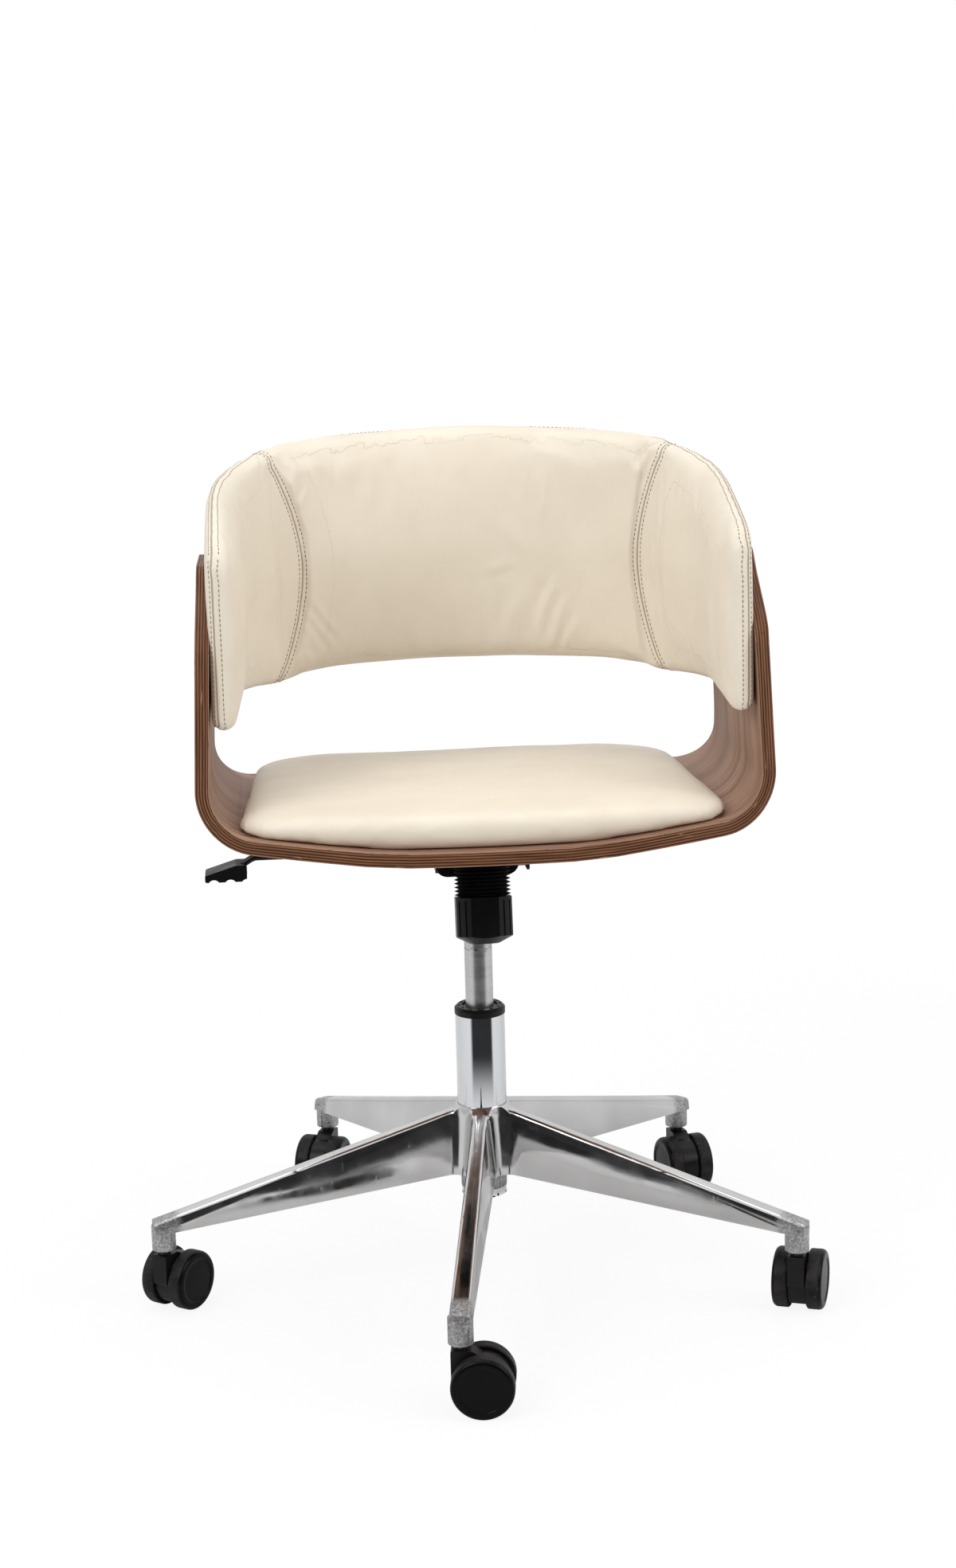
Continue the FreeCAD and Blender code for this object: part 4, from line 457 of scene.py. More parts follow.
def through(matrix, points):
    """An array of points put through a matrix."""
    grid = np.array(matrix)
    return points @ grid[:3, :3].T + grid[:3, 3]


def vertices_of(mesh):
    flat = np.empty(len(mesh.vertices) * 3, np.float32)
    mesh.vertices.foreach_get("co", flat)
    return flat.reshape(-1, 3).astype(float)


def normals_of(mesh):
    return array_of(vertex.normal for vertex in mesh.vertices)


def move_vertices(mesh, points):
    mesh.vertices.foreach_set("co", np.asarray(points, np.float32).ravel())
    mesh.update()


def mark_vertices(mesh, name, values, kind="FLOAT", field="value"):
    """A value at every vertex, for the material."""
    made = mesh.attributes.new(name, kind, "POINT")
    made.data.foreach_set(field, np.asarray(values, np.float32).ravel())


def add_object(name, data):
    made = bpy.data.objects.new(name, data)
    scene.collection.objects.link(made)
    return made


def ring_mesh(name, rings):
    """A closed skin over rings of equal count, its two ends filled."""
    count = len(rings[0])
    points = [point for ring in rings for point in ring]
    faces = []
    for level in range(len(rings) - 1):
        low, high = level * count, (level + 1) * count
        for index in range(count):
            following = (index + 1) % count
            faces.append((low + index, low + following, high + following, high + index))
    faces.append(tuple(range(count))[::-1])
    faces.append(tuple(range(len(points) - count, len(points))))
    mesh = bpy.data.meshes.new(name)
    mesh.from_pydata([tuple(point) for point in points], [], faces)
    mesh.validate()
    form = bmesh.new()
    form.from_mesh(mesh)
    bmesh.ops.recalc_face_normals(form, faces=form.faces)
    form.to_mesh(mesh)
    form.free()
    return mesh


# Finer copies of rigid nodes

SHADE_CREASE, ROUND_CREASE = 38, 50
BEVEL_FROM = math.radians(30)
FLAT_UNDER = math.radians(1)
SAME_SPOT = 2e-6


def softened(node, body, finish, width, segments=2):
    """A copy of a rigid node with its sharp edges broken, in the node's place."""
    mesh = nodes[node].data.copy()
    form = bmesh.new()
    form.from_mesh(mesh)
    bmesh.ops.remove_doubles(form, verts=form.verts, dist=SAME_SPOT)
    bmesh.ops.dissolve_limit(form, angle_limit=FLAT_UNDER, verts=form.verts, edges=form.edges)
    sharp = [edge for edge in form.edges
             if edge.is_manifold and edge.calc_face_angle(0) > BEVEL_FROM]
    bmesh.ops.bevel(form, geom=sharp, offset=width, offset_type="OFFSET", segments=segments,
                    profile=0.5, affect="EDGES", clamp_overlap=True)
    bmesh.ops.triangulate(form, faces=[face for face in form.faces if len(face.verts) > 4])
    form.to_mesh(mesh)
    form.free()
    made = paint(add_object(node + "_shown", mesh), finish, SHADE_CREASE)
    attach(made, body)
    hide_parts(node)
    return made


def pressed(node, finish):
    """A copy of a part, carried by the body that the tension slide moves."""
    slide = next(joint for joint in frame["joints"] if joint["name"] == "tension_slide")
    mesh = nodes[node].data.copy()
    made = paint(add_object(node + "_shown", mesh), finish, ROUND_CREASE)
    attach(made, slide["child"])
    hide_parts(node)
    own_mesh(made)


def turned(node, body, finish, count=128):
    """A round node drawn again with a finer circle, from its own outline."""
    points = vertices_of(nodes[node].data)
    radii = np.hypot(points[:, 0], points[:, 1])
    levels = np.round(points[:, 2], 5)
    steps = sorted(set(levels))
    outer = [(radii[levels == level].max(), level) for level in steps]
    inner = [(radii[levels == level].min(), level) for level in steps[::-1]]
    rings = [[(radius * math.cos(turn), radius * math.sin(turn), level)
              for turn in circle_turns(count)]
             for radius, level in [inner[-1]] + outer + inner]
    mesh = ring_mesh(node + "_shown", rings)
    made = paint(add_object(node + "_shown", mesh), finish, SHADE_CREASE)
    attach(made, body)
    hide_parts(node)


# Outline of a wheel in millimetres: radius, distance from the caster's middle, share of tread
WHEEL = [(4.1, 8.7, 0), (27.6, 8.7, 0), (29, 9.1, 0), (29.8, 9.9, 0.6), (30, 10.8, 1),
         (30, 13, 1), (30, 16, 1), (30, 19, 1), (30, 20.6, 1), (29.7, 21.9, 0.6),
         (29.1, 23.1, 0), (28.2, 24.1, 0), (27.1, 24.7, 0), (25.8, 24.98, 0), (24, 25, 0),
         (22.6, 24.95, 0), (22.1, 24.75, 0), (21.8, 24.4, 0), (21.4, 24.2, 0), (20.6, 24.2, 0),
         (16, 24.35, 0), (9, 24.5, 0), (2, 24.55, 0)]


def build_wheel(joint, count=96):
    """Body wheel_front_left shows the node caster_front_wheel_left, and so on."""
    place, side = joint["child"].split("_", 1)[1].rsplit("_", 1)
    node = f"caster_{place}_wheel_{side}"
    centre, axis = Vector(joint["pos_m"]), Vector(joint["axis"])
    low, high = (Vector(corner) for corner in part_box(node))
    way = axis * math.copysign(1, ((low + high) / 2 - centre).dot(axis))
    up = Vector((0, 0, 1))
    across = up.cross(way)
    turns = circle_turns(count)
    rings = [[centre + way * out * MM
              + (across * math.cos(turn) + up * math.sin(turn)) * radius * MM
              for turn in turns] for radius, out, _ in WHEEL]
    wheel = add_object(node + "_shown", ring_mesh(node + "_shown", rings))
    mark_vertices(wheel.data, "tread", [share for _, _, share in WHEEL for _ in turns])
    paint(wheel, "wheel_plastic", ROUND_CREASE)
    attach(wheel, joint["child"])
    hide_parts(node)


def shell_outside():
    """Half of the band's outer line in the seat's own frame, from the middle to the arm top."""
    arm_top = SHELL_HALF_WIDTH - (SHELL_TOP - CORNER_HEIGHT) * LEAN
    pan = [(0, 0), (0.075, 0), (0.115, 0.002)]
    corner = (SHELL_HALF_WIDTH, CORNER_HEIGHT, CORNER_RADIUS)
    return rounded([*pan, corner, (arm_top, SHELL_TOP), (0, SHELL_TOP)])[:-1]


def board_frame(points):
    """Along the band, back, and depth from its outer face, for points in the model's frame."""
    line = array_of(shell_outside())
    starts, ways = line[:-1], np.diff(line, axis=0)
    lengths = np.linalg.norm(ways, axis=1)
    keep = lengths > 1e-7
    starts, ways, lengths = starts[keep], ways[keep], lengths[keep]
    reached = np.concatenate([[0], np.cumsum(lengths)[:-1]])
    local = through(TO_SEAT, points)
    flat = np.stack([np.abs(local[:, 0]), local[:, 2]], axis=1)
    share = ((flat[:, None, :] - starts) * ways).sum(2) / lengths ** 2
    share = np.clip(share, 0, 1)
    foot = starts + share[:, :, None] * ways
    gap = np.linalg.norm(flat[:, None, :] - foot, axis=2)
    best = gap.argmin(1)
    rows = np.arange(len(points))
    along = (reached[best] + share[rows, best] * lengths[best]) * np.sign(local[:, 0])
    return np.stack([along, local[:, 1], gap[rows, best]], axis=1)


# Soft pieces: closed forms, inflated as cloth between held seams

VOXEL = 0.005
CLOTH_FRAMES = 20
CLOTH = {"quality": 6, "mass": 0.25, "tension_stiffness": 12, "compression_stiffness": 12,
         "shear_stiffness": 6, "bending_stiffness": 0.6, "use_pressure": True,
         "vertex_group_mass": "hold", "pin_stiffness": 1}


def bake(thing):
    """Put the result of a piece's modifiers in its mesh."""
    graph = bpy.context.evaluated_depsgraph_get()
    old = thing.data
    thing.data = bpy.data.meshes.new_from_object(thing.evaluated_get(graph), depsgraph=graph)
    thing.modifiers.clear()
    bpy.data.meshes.remove(old)


def remeshed(thing):
    """An even skin of small faces over a closed form, a little smoothed."""
    voxels = thing.modifiers.new("voxels", "REMESH")
    voxels.voxel_size = VOXEL
    voxels.mode = "VOXEL"
    bake(thing)
    smooth = thing.modifiers.new("smooth", "SMOOTH")
    smooth.factor = 0.5
    smooth.iterations = 6
    bake(thing)


def subdivided(thing):
    refine = thing.modifiers.new("refine", "SUBSURF")
    refine.levels = refine.render_levels = 1
    bake(thing)


def inflate(thing, hold, cap, pressure):
    """Cloth under inner pressure. Points with a hold of 1 stay; none moves over the cap."""
    start = vertices_of(thing.data)
    group = thing.vertex_groups.new(name="hold")
    for index, weight in enumerate(hold):
        if weight > 0:
            group.add([index], float(weight), "REPLACE")
    cloth = thing.modifiers.new("cloth", "CLOTH")
    for name, value in CLOTH.items():
        setattr(cloth.settings, name, value)
    cloth.settings.uniform_pressure_force = pressure
    cloth.settings.effector_weights.gravity = 0
    cloth.collision_settings.use_collision = False
    cloth.point_cache.frame_start = 1
    cloth.point_cache.frame_end = CLOTH_FRAMES
    for step in range(1, CLOTH_FRAMES + 1):
        scene.frame_set(step)
    graph = bpy.context.evaluated_depsgraph_get()
    moved = vertices_of(thing.evaluated_get(graph).data)
    thing.modifiers.clear()
    thing.vertex_groups.clear()
    scene.frame_set(1)
    shift = moved - start
    length = np.maximum(np.linalg.norm(shift, axis=1), 1e-9)
    move_vertices(thing.data, start + shift * np.minimum(1, cap / length)[:, None])


# Seams

SEAM_STEP = 0.0015
SEAM_REACH, FAR_FROM_SEAMS = 0.036, 0.05
GROOVE_DEPTH, GROOVE_WIDTH = 0.0011, 0.0016
ROW_DEPTH, ROW_WIDTH = 0.0004, 0.0012
UPRIGHT_ROWS = (-0.0045, 0.0045)
RIM_ROWS = (-0.0072, 0.003)
STITCH_LENGTH, STITCH_GAP = 0.0034, 0.0012
THREAD_RADIUS, THREAD_SIDES = 0.00038, 6
# Share of a stitch's length, share of the thread's radius, height in radii
STITCH_SHAPE = ((0, 0.5, -0.6), (0.15, 0.9, 0.1), (0.5, 1, 0.45), (0.85, 0.9, 0.1),
                (1, 0.5, -0.6))
STITCH_AIM = 0.0005


def tree_of(thing):
    return BVHTree.FromPolygons([vertex.co for vertex in thing.data.vertices],
                                [face.vertices for face in thing.data.polygons])


def on_surface(tree, points):
    """A line's points put on a surface, with their normals, evenly spaced."""
    spots = array_of(tree.find_nearest(point)[0] for point in points)
    length = run_of(spots)[-1]
    line = resampled(spots, np.linspace(0, length, max(3, int(length / SEAM_STEP))))
    settled = [tree.find_nearest(Vector(point)) for point in line]
    return [hit[0].copy() for hit in settled], [hit[1].copy() for hit in settled]


class Seam:
    """A sewn line on a surface: signed distance to it, and stitch rows beside it."""

    def __init__(self, tree, points):
        self.spots, self.normals = on_surface(tree, points)
        last = len(self.spots) - 1
        self.ways = [(self.spots[min(last, index + 2)] - self.spots[max(0, index - 2)])
                     .normalized() for index in range(last + 1)]
        self.lookup = KDTree(last + 1)
        for index, spot in enumerate(self.spots):
            self.lookup.insert(spot, index)
        self.lookup.balance()

    def distance(self, point, within):
        """Signed distance to the seam's line, or None for a point that isn't within reach."""
        spot, index, away = self.lookup.find(point)
        if away >= within:
            return None
        offset = point - spot
        side = self.normals[index].cross(self.ways[index])
        flat = offset - self.ways[index] * offset.dot(self.ways[index])
        return math.copysign(flat.length, offset.dot(side))

    def row(self, tree, aside):
        points = [spot + normal.cross(way) * aside
                  for spot, normal, way in zip(self.spots, self.normals, self.ways)]
        return on_surface(tree, points)


def nearest_seam(point, seams, within):
    """The signed distance to the nearest of the seams that are within reach, or None."""
    found = [seam.distance(point, within) for seam in seams]
    return min((number for number in found if number is not None), key=abs, default=None)


def sew(mesh, seams):
    """Grooves at the seams and at their stitch rows, and the distance for the material."""
    points = vertices_of(mesh)
    distance = np.full(len(points), FAR_FROM_SEAMS)
    for index, point in enumerate(points):
        near = nearest_seam(Vector(point), seams, SEAM_REACH)
        if near is not None:
            distance[index] = near
    depth = GROOVE_DEPTH * np.exp(-(distance / GROOVE_WIDTH) ** 2)
    for aside in UPRIGHT_ROWS:
        depth += ROW_DEPTH * np.exp(-((distance - aside) / ROW_WIDTH) ** 2)
    move_vertices(mesh, points - normals_of(mesh) * depth[:, None])
    mark_vertices(mesh, "seam", distance)


def row_reader(spots, normals):
    """A row's length, and what gives the spot and the normal at a distance along it."""
    line, away = array_of(spots), array_of(normals)
    marks = run_of(line)

    def at(distance):
        spot, normal = (Vector([np.interp(distance, marks, values[:, axis])
                                for axis in range(3)]) for values in (line, away))
        return spot, normal.normalized()

    return marks[-1], at


def add_stitch(form, at, start, end):
    """One arched capsule of thread that dips at both ends, from a start along a row."""
    rings = []
    for share, swell, lift in STITCH_SHAPE:
        here = start + STITCH_LENGTH * share
        spot, normal = at(here)
        ahead = (at(min(end, here + STITCH_AIM))[0]
                 - at(max(0, here - STITCH_AIM))[0]).normalized()
        across = ahead.cross(normal).normalized()
        centre = spot + normal * THREAD_RADIUS * lift
        rings.append([form.verts.new(centre + THREAD_RADIUS * swell
                                     * (across * math.cos(turn) + normal * math.sin(turn)))
                      for turn in circle_turns(THREAD_SIDES)])
    for low, high in zip(rings, rings[1:]):
        for index in range(THREAD_SIDES):
            following = (index + 1) % THREAD_SIDES
            form.faces.new((low[index], low[following], high[following], high[index]))
    form.faces.new(rings[0][::-1])
    form.faces.new(rings[-1])


def stitches(name, rows, body):
    """Thread along rows of points."""
    form = bmesh.new()
    for spots, normals in rows:
        end, at = row_reader(spots, normals)
        start = STITCH_GAP
        while start + STITCH_LENGTH < end:
            add_stitch(form, at, start, end)
            start += STITCH_LENGTH + STITCH_GAP
    mesh = bpy.data.meshes.new(name)
    form.to_mesh(mesh)
    form.free()
    mesh.shade_smooth()
    made = paint(add_object(name, mesh), "brown_thread")
    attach(made, body)


# Seat cushion, drawn in the seat's own frame

CUSHION_FRONT, CUSHION_REAR = -0.239, 0.174
CUSHION_SIDE, CUSHION_REAR_SIDE = 0.229, 0.212
CUSHION_MIDDLE = np.array([0, -0.03])
FRONT_RADIUS, FRONT_SWEEP = 0.735, math.radians(15)
FRONT_CORNER, REAR_CORNER, CORNER_FADE = 0.04, 0.07, 0.14
CUSHION_LOW, CUSHION_HIGH = 0.0134, 0.0514
CUSHION_DOME = 0.0015
CUSHION_ROUND = 0.009
TOP_INSET = 9 * CUSHION_ROUND
SKIN_ROOM = 0.0015
PAN_GAP = 0.0004
LEFT_BULGE = 0.005
EDGE_HOLD_HEIGHT = 0.03
BROAD_UNEVENNESS, FINE_UNEVENNESS = 0.0016, 0.0005
# Share of the height, and inset from the widest line as a multiple of CUSHION_ROUND
CUSHION_EDGE = ((0, 1), (0.1, 0.55), (0.2, 0.3), (0.4, 0), (0.6, 0.12), (0.7, 0.35),
                (0.78, 0.75), (0.84, 1.35), (0.89, 2.2), (0.93, 3.3), (0.96, 4.8), (0.985, 7))


def cushion_line(inset):
    """The cushion's outline in plan, drawn in by an inset."""
    side, rear_side = CUSHION_SIDE - inset, CUSHION_REAR_SIDE - inset
    radius, left = FRONT_RADIUS - inset, 1 - inset / CORNER_FADE
    point = CUSHION_FRONT + inset - radius * (1 / math.cos(FRONT_SWEEP) - 1)
    end = point + side * math.tan(FRONT_SWEEP)
    rear = CUSHION_REAR - inset
    return even(rounded([(0, point, radius * left), (side, end, FRONT_CORNER * left),
                         (rear_side, rear, REAR_CORNER * left),
                         (-rear_side, rear, REAR_CORNER * left),
                         (-side, end, FRONT_CORNER * left)], 0.004), 200)


def pan_rise(across):
    """Height of the shell's inner face over the seat frame's origin."""
    return SHELL_THICKNESS + PAN_SLOPE * np.maximum(0, np.abs(across) - PAN_LEVEL)


def cushion_ring(inset, height, share=1.0):
    """An outline at a height or on the pan, drawn to its middle, fuller at the left."""
    ring = []
    for x, y in CUSHION_MIDDLE + (cushion_line(inset) - CUSHION_MIDDLE) * share:
        x -= LEFT_BULGE * min(1, max(0, -x / 0.2)) ** 2
        ring.append((x, y, max(height, pan_rise(x) + PAN_GAP)))
    return ring


def cushion_rings():
    """Rings from the middle of the underside, up the edge and in to the middle of the top."""
    shoulder = CUSHION_HIGH - SKIN_ROOM
    rings = [cushion_ring(CUSHION_ROUND + SKIN_ROOM, CUSHION_LOW, share)
             for share in (0.25, 0.6, 0.9, 0.985)]
    rings += [cushion_ring(CUSHION_ROUND * draw + SKIN_ROOM,
                           CUSHION_LOW + (shoulder - CUSHION_LOW) * rise)
              for rise, draw in CUSHION_EDGE]
    rings += [cushion_ring(TOP_INSET, shoulder + CUSHION_DOME * (1 - share * share), share)
              for share in (1, 0.8, 0.6, 0.4, 0.2, 0.05)]
    return rings


def build_cushion():
    mesh = ring_mesh("seat_cushion_shown", cushion_rings())
    cushion = add_object("seat_cushion_shown", mesh)
    remeshed(cushion)
    points = vertices_of(cushion.data)
    over_pan = points[:, 2] - pan_rise(points[:, 0])
    hold = np.clip(1.4 - over_pan / EDGE_HOLD_HEIGHT, 0.15, 1)
    inflate(cushion, hold, cap=0.0025, pressure=2.0)
    subdivided(cushion)
    points, away = vertices_of(cushion.data), normals_of(cushion.data)
    up = np.clip(away[:, 2], 0, 1)
    for index, (x, y, z) in enumerate(points):
        soft = noise.noise(Vector((x * 9 + 4, y * 11, 2.0))) * BROAD_UNEVENNESS
        soft += noise.noise(Vector((x * 26, y * 30, 7.0))) * FINE_UNEVENNESS
        points[index] += away[index] * soft * up[index]
    points[:, 2] = np.maximum(points[:, 2], pan_rise(points[:, 0]) + PAN_GAP)
    move_vertices(cushion.data, points)
    cushion.data.transform(SEAT_FRAME)
    cushion.data.shade_smooth()
    mark_vertices(cushion.data, "seam", np.full(len(points), FAR_FROM_SEAMS))
    paint(cushion, "cream_leather")
    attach(cushion, "seat")
    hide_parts("seat_cushion")


# Back pad: sections at stations round its plan, from the left tip to the right one

PAD_HALF_WIDTH = 0.2535
PAD_TIP, PAD_BEND, PAD_REAR = -0.192, -0.06, 0.178
BEND_LENGTH = 0.238
BEND_TURNS = np.arange(0, 90, 3)
# Lean in degrees and depth at the sides, and what each gains towards the rear
SIDE_LEAN, LEAN_GAIN = -0.3, 4.8
SIDE_DEPTH, DEPTH_GAIN = 0.032, 0.012
PAD_LOW, REAR_DROP = 0.615, 0.004
TOP_AT_TIP, TOP_RISE, TOP_CROWN = 0.7895, 0.0725, 0.028
TIP_ROUND, TIP_DROP = 0.026, 0.6
TIP_BACKS = (-0.192, -0.1912, -0.1895, -0.187, -0.184, -0.18)
SIDE_BACKS = np.arange(-0.17, -0.061, 0.012)
TIP_INSETS = (0.0085, 0.0062, 0.0044, 0.0031, 0.0024, 0.002)
SECTION_INSET = 0.0018
SEAM_FOOT, SEAM_HEAD = 0.622, 0.832
SEAM_WIDEST, SEAM_HALF_HEIGHT = 0.73, 0.112
# By side: an upright seam's plan angle where it is widest, and what it loses towards its ends
SEAM_TURNS = {-1: (44, 10), 1: (38.5, 8.5)}
RIM_OUT = -0.0065
RIM_TIP_TOP = 0.76
ARM_CLEARANCE, ARM_MARGIN, HELD_MARGIN, HELD_ACROSS = 0.0005, 0.0015, 0.006, 0.238
SEAM_HOLD, SEAM_HOLD_REACH = 0.004, 0.02
# Where the rim's seam leaves the edge of the top and of the underside, by the bend
TOP_TURNS_BEHIND, LOW_TURNS_BEHIND, TURN_SPREAD = 0.5, 0.3, 0.2
# The arm's side view in the seat's own frame, up its front edge and down its rear edge
ARM_OUTLINE = [(-0.204, 0.072), (-0.2065, 0.203), (-0.152, 0.25), (-0.134, 0.272),
               (0.02, 0.272), (0.091, 0.134)]


def pad_top(back):
    share = (back - PAD_TIP) / (PAD_REAR - PAD_TIP)
    level = TOP_AT_TIP + TOP_RISE * share + TOP_CROWN * share * (1 - share)
    left = min(TIP_ROUND, max(0.0, TIP_ROUND - (back - PAD_TIP)))
    return level - TIP_DROP * (TIP_ROUND - math.sqrt(TIP_ROUND ** 2 - left ** 2))


def pad_depth(bend):
    return SIDE_DEPTH + DEPTH_GAIN * bend * bend


def station_at(side, turn):
    """Outer foot point, outward way and bend at a plan angle of the pad's rear, in degrees."""
    angle = math.radians(turn)
    way = Vector((side * BEND_LENGTH * math.cos(angle), PAD_HALF_WIDTH * math.sin(angle)))
    spot = Vector((side * PAD_HALF_WIDTH * math.cos(angle),
                   PAD_BEND + BEND_LENGTH * math.sin(angle)))
    return spot, way.normalized(), math.sin(angle)


def pad_stations():
    right = [(Vector((PAD_HALF_WIDTH, back)), Vector((1, 0)), 0)
             for back in [*TIP_BACKS, *SIDE_BACKS]]
    right += [station_at(1, turn) for turn in BEND_TURNS]
    left = [(Vector((-spot.x, spot.y)), Vector((-way.x, way.y)), bend)
            for spot, way, bend in right]
    return left + [(Vector((0, PAD_REAR)), Vector((0, 1)), 1)] + right[::-1]


def pad_space(station, out, height):
    """A point of a section: out from its foot point and up, on a lean that grows rearwards."""
    spot, way, bend = station
    lean = math.radians(SIDE_LEAN + LEAN_GAIN * bend * bend)
    reach = out + (height - PAD_LOW) * math.tan(lean)
    return Vector((spot.x + way.x * reach, spot.y + way.y * reach, height))


def pad_ring(station, inset):
    spot, way, bend = station
    top, depth, low = pad_top(spot.y), pad_depth(bend), PAD_LOW - REAR_DROP * bend
    corners = [(-inset, low + inset, 0.008), (-inset, top - inset, 0.008),
               (-depth + 0.006 + inset, top - inset, 0.014),
               (-depth + inset, (low + top) / 2, 0.2),
               (-depth + 0.005 + inset, low + inset, 0.01)]
    return [pad_space(station, out, height) for out, height in even(rounded(corners), 96)]


def arm_side(back, height):
    """How far a point of the arm's side view lies inside the arm, by its straight edges."""
    inside = ARM_OUTLINE[-1][0] - back
    for (y1, z1), (y2, z2) in zip(ARM_OUTLINE, ARM_OUTLINE[1:]):
        length = math.hypot(y2 - y1, z2 - z1)
        inside = min(inside, ((back - y1) * (z2 - z1) - (height - z1) * (y2 - y1)) / length)
    return inside


def seam_turn(side, height):
    """Plan angle of an upright seam on the inner face, in degrees."""
    widest, loss = SEAM_TURNS[side]
    return widest - loss * ((height - SEAM_WIDEST) / SEAM_HALF_HEIGHT) ** 2


def upright_seam(side):
    """Points of a seam from under the pad, up its inner face and over the top."""
    under = station_at(side, seam_turn(side, SEAM_FOOT))
    over = station_at(side, seam_turn(side, SEAM_HEAD))
    line = [pad_space(under, out, PAD_LOW) for out in np.linspace(-0.004, -0.03, 6)]
    for height in np.linspace(SEAM_FOOT, SEAM_HEAD, 40):
        station = station_at(side, seam_turn(side, height))
        line.append(pad_space(station, -pad_depth(station[2]), height))
    top = pad_top(over[0].y)
    return line + [pad_space(over, out, top) for out in np.linspace(-0.032, -0.006, 6)]


def rim_seam():
    """Points of the seam round the outer rim: over the top, down a tip and back below."""
    stations = pad_stations()
    tip_heights = np.linspace(RIM_TIP_TOP, SEAM_FOOT, 24)
    line = []
    for station in stations[3:-3]:
        spot, way, bend = station
        behind = min(1, max(0, (bend - TOP_TURNS_BEHIND) / TURN_SPREAD))
        line.append(pad_space(station, RIM_OUT * (1 - behind), pad_top(spot.y) - 0.012 * behind))
    line += [pad_space(stations[-1], RIM_OUT, height) for height in tip_heights]
    for station in stations[::-1][6:-6]:
        behind = min(1, max(0, (station[2] - LOW_TURNS_BEHIND) / TURN_SPREAD))
        line.append(pad_space(station, RIM_OUT * (1 - behind), PAD_LOW + 0.01 * behind))
    line += [pad_space(stations[0], RIM_OUT, height) for height in tip_heights[::-1]]
    return line + line[:1]


PAD_UNEVENNESS = 0.0008
FOLD_HALF_LENGTH, FOLD_WANDER = 0.42, 0.003
TROUGH_DEPTH, TROUGH_ASIDE = 0.7, 1.7
FOLDS = [
    # start x, start z, end x, end z, height of the fold, half width
    (-0.086, 0.829, -0.093, 0.775, 0.0011, 0.006), (-0.060, 0.827, -0.064, 0.765, 0.001, 0.005),
    (0.082, 0.818, 0.080, 0.757, 0.0013, 0.004), (0.091, 0.819, 0.087, 0.76, 0.001, 0.004),
    (-0.002, 0.836, -0.006, 0.77, 0.0007, 0.007), (-0.157, 0.702, -0.123, 0.65, 0.001, 0.004),
    (-0.158, 0.686, -0.130, 0.637, 0.001, 0.004), (-0.160, 0.67, -0.143, 0.634, 0.0009, 0.004),
    (0.100, 0.707, 0.076, 0.64, 0.0013, 0.006), (0.108, 0.687, 0.089, 0.628, 0.0013, 0.005),
    (0.120, 0.667, 0.103, 0.623, 0.001, 0.005), (-0.030, 0.692, -0.012, 0.65, 0.0007, 0.006),
    (0.045, 0.76, 0.07, 0.725, 0.0007, 0.007), (0.02, 0.71, 0.055, 0.72, 0.0006, 0.006),
    (-0.153, 0.808, -0.160, 0.786, 0.0008, 0.003), (0.06, 0.69, 0.048, 0.64, 0.0009, 0.008),
]


def fold_height(x, z):
    """Height of the folds at a place of the inner face: crests, each with a trough beside it."""
    total = 0.0
    for x1, z1, x2, z2, rise, width in FOLDS:
        run, climb = x2 - x1, z2 - z1
        share = ((x - x1) * run + (z - z1) * climb) / (run * run + climb * climb)
        fade = math.exp(-((share - 0.5) / FOLD_HALF_LENGTH) ** 4)
        wander = FOLD_WANDER * noise.noise(Vector((x * 30, z * 30, x1 * 90)))
        aside = ((x - x1) * climb - (z - z1) * run) / math.hypot(run, climb) + wander
        crest = math.exp(-(aside / width) ** 2)
        trough = math.exp(-(aside / width - TROUGH_ASIDE) ** 2)
        total += rise * fade * (crest - TROUGH_DEPTH * trough)
    return total


def pad_hold(points, seams):
    """How firmly each point is held: fully on a seam and where the pad lies against an arm."""
    hold = []
    for point, (across, back, height) in zip(points, through(TO_SEAT, points)):
        if arm_side(back, height) > -HELD_MARGIN and abs(across) > HELD_ACROSS:
            hold.append(1)
            continue
        near = nearest_seam(Vector(point), seams, SEAM_HOLD_REACH)
        hold.append(0 if near is None else min(1, max(0, 1.5 - abs(near) / SEAM_HOLD)))
    return np.array(hold)


def creased(mesh):
    """Points with folds on the inner face behind the sitter, and uneven all over."""
    points, away = vertices_of(mesh), normals_of(mesh)
    for index, (x, y, z) in enumerate(points):
        back = y - PAD_BEND
        inward = -(away[index][0] * x + away[index][1] * back) / math.hypot(x, back)
        facing = max(0.0, min(1.0, inward * 1.4 - 0.2))
        if facing > 0 and y > 0:
            points[index] += away[index] * facing * fold_height(x, z)
        uneven = noise.noise(Vector((x * 14, y * 14, z * 10)))
        points[index] += away[index] * uneven * PAD_UNEVENNESS
    return points


def fitted_in_arms(points):
    """The same points, none of them past an arm's inner face."""
    local = through(TO_SEAT, points)
    foot = CORNER_HEIGHT + SHELL_THICKNESS
    reach = SHELL_HALF_WIDTH - SHELL_THICKNESS * (1 + LEAN) - ARM_CLEARANCE
    for index, (x, y, z) in enumerate(local):
        if arm_side(y, z) > -ARM_MARGIN:
            limit = reach - LEAN * (z - foot)
            local[index, 0] = math.copysign(min(abs(x), limit), x)
    return through(SEAT_FRAME, local)


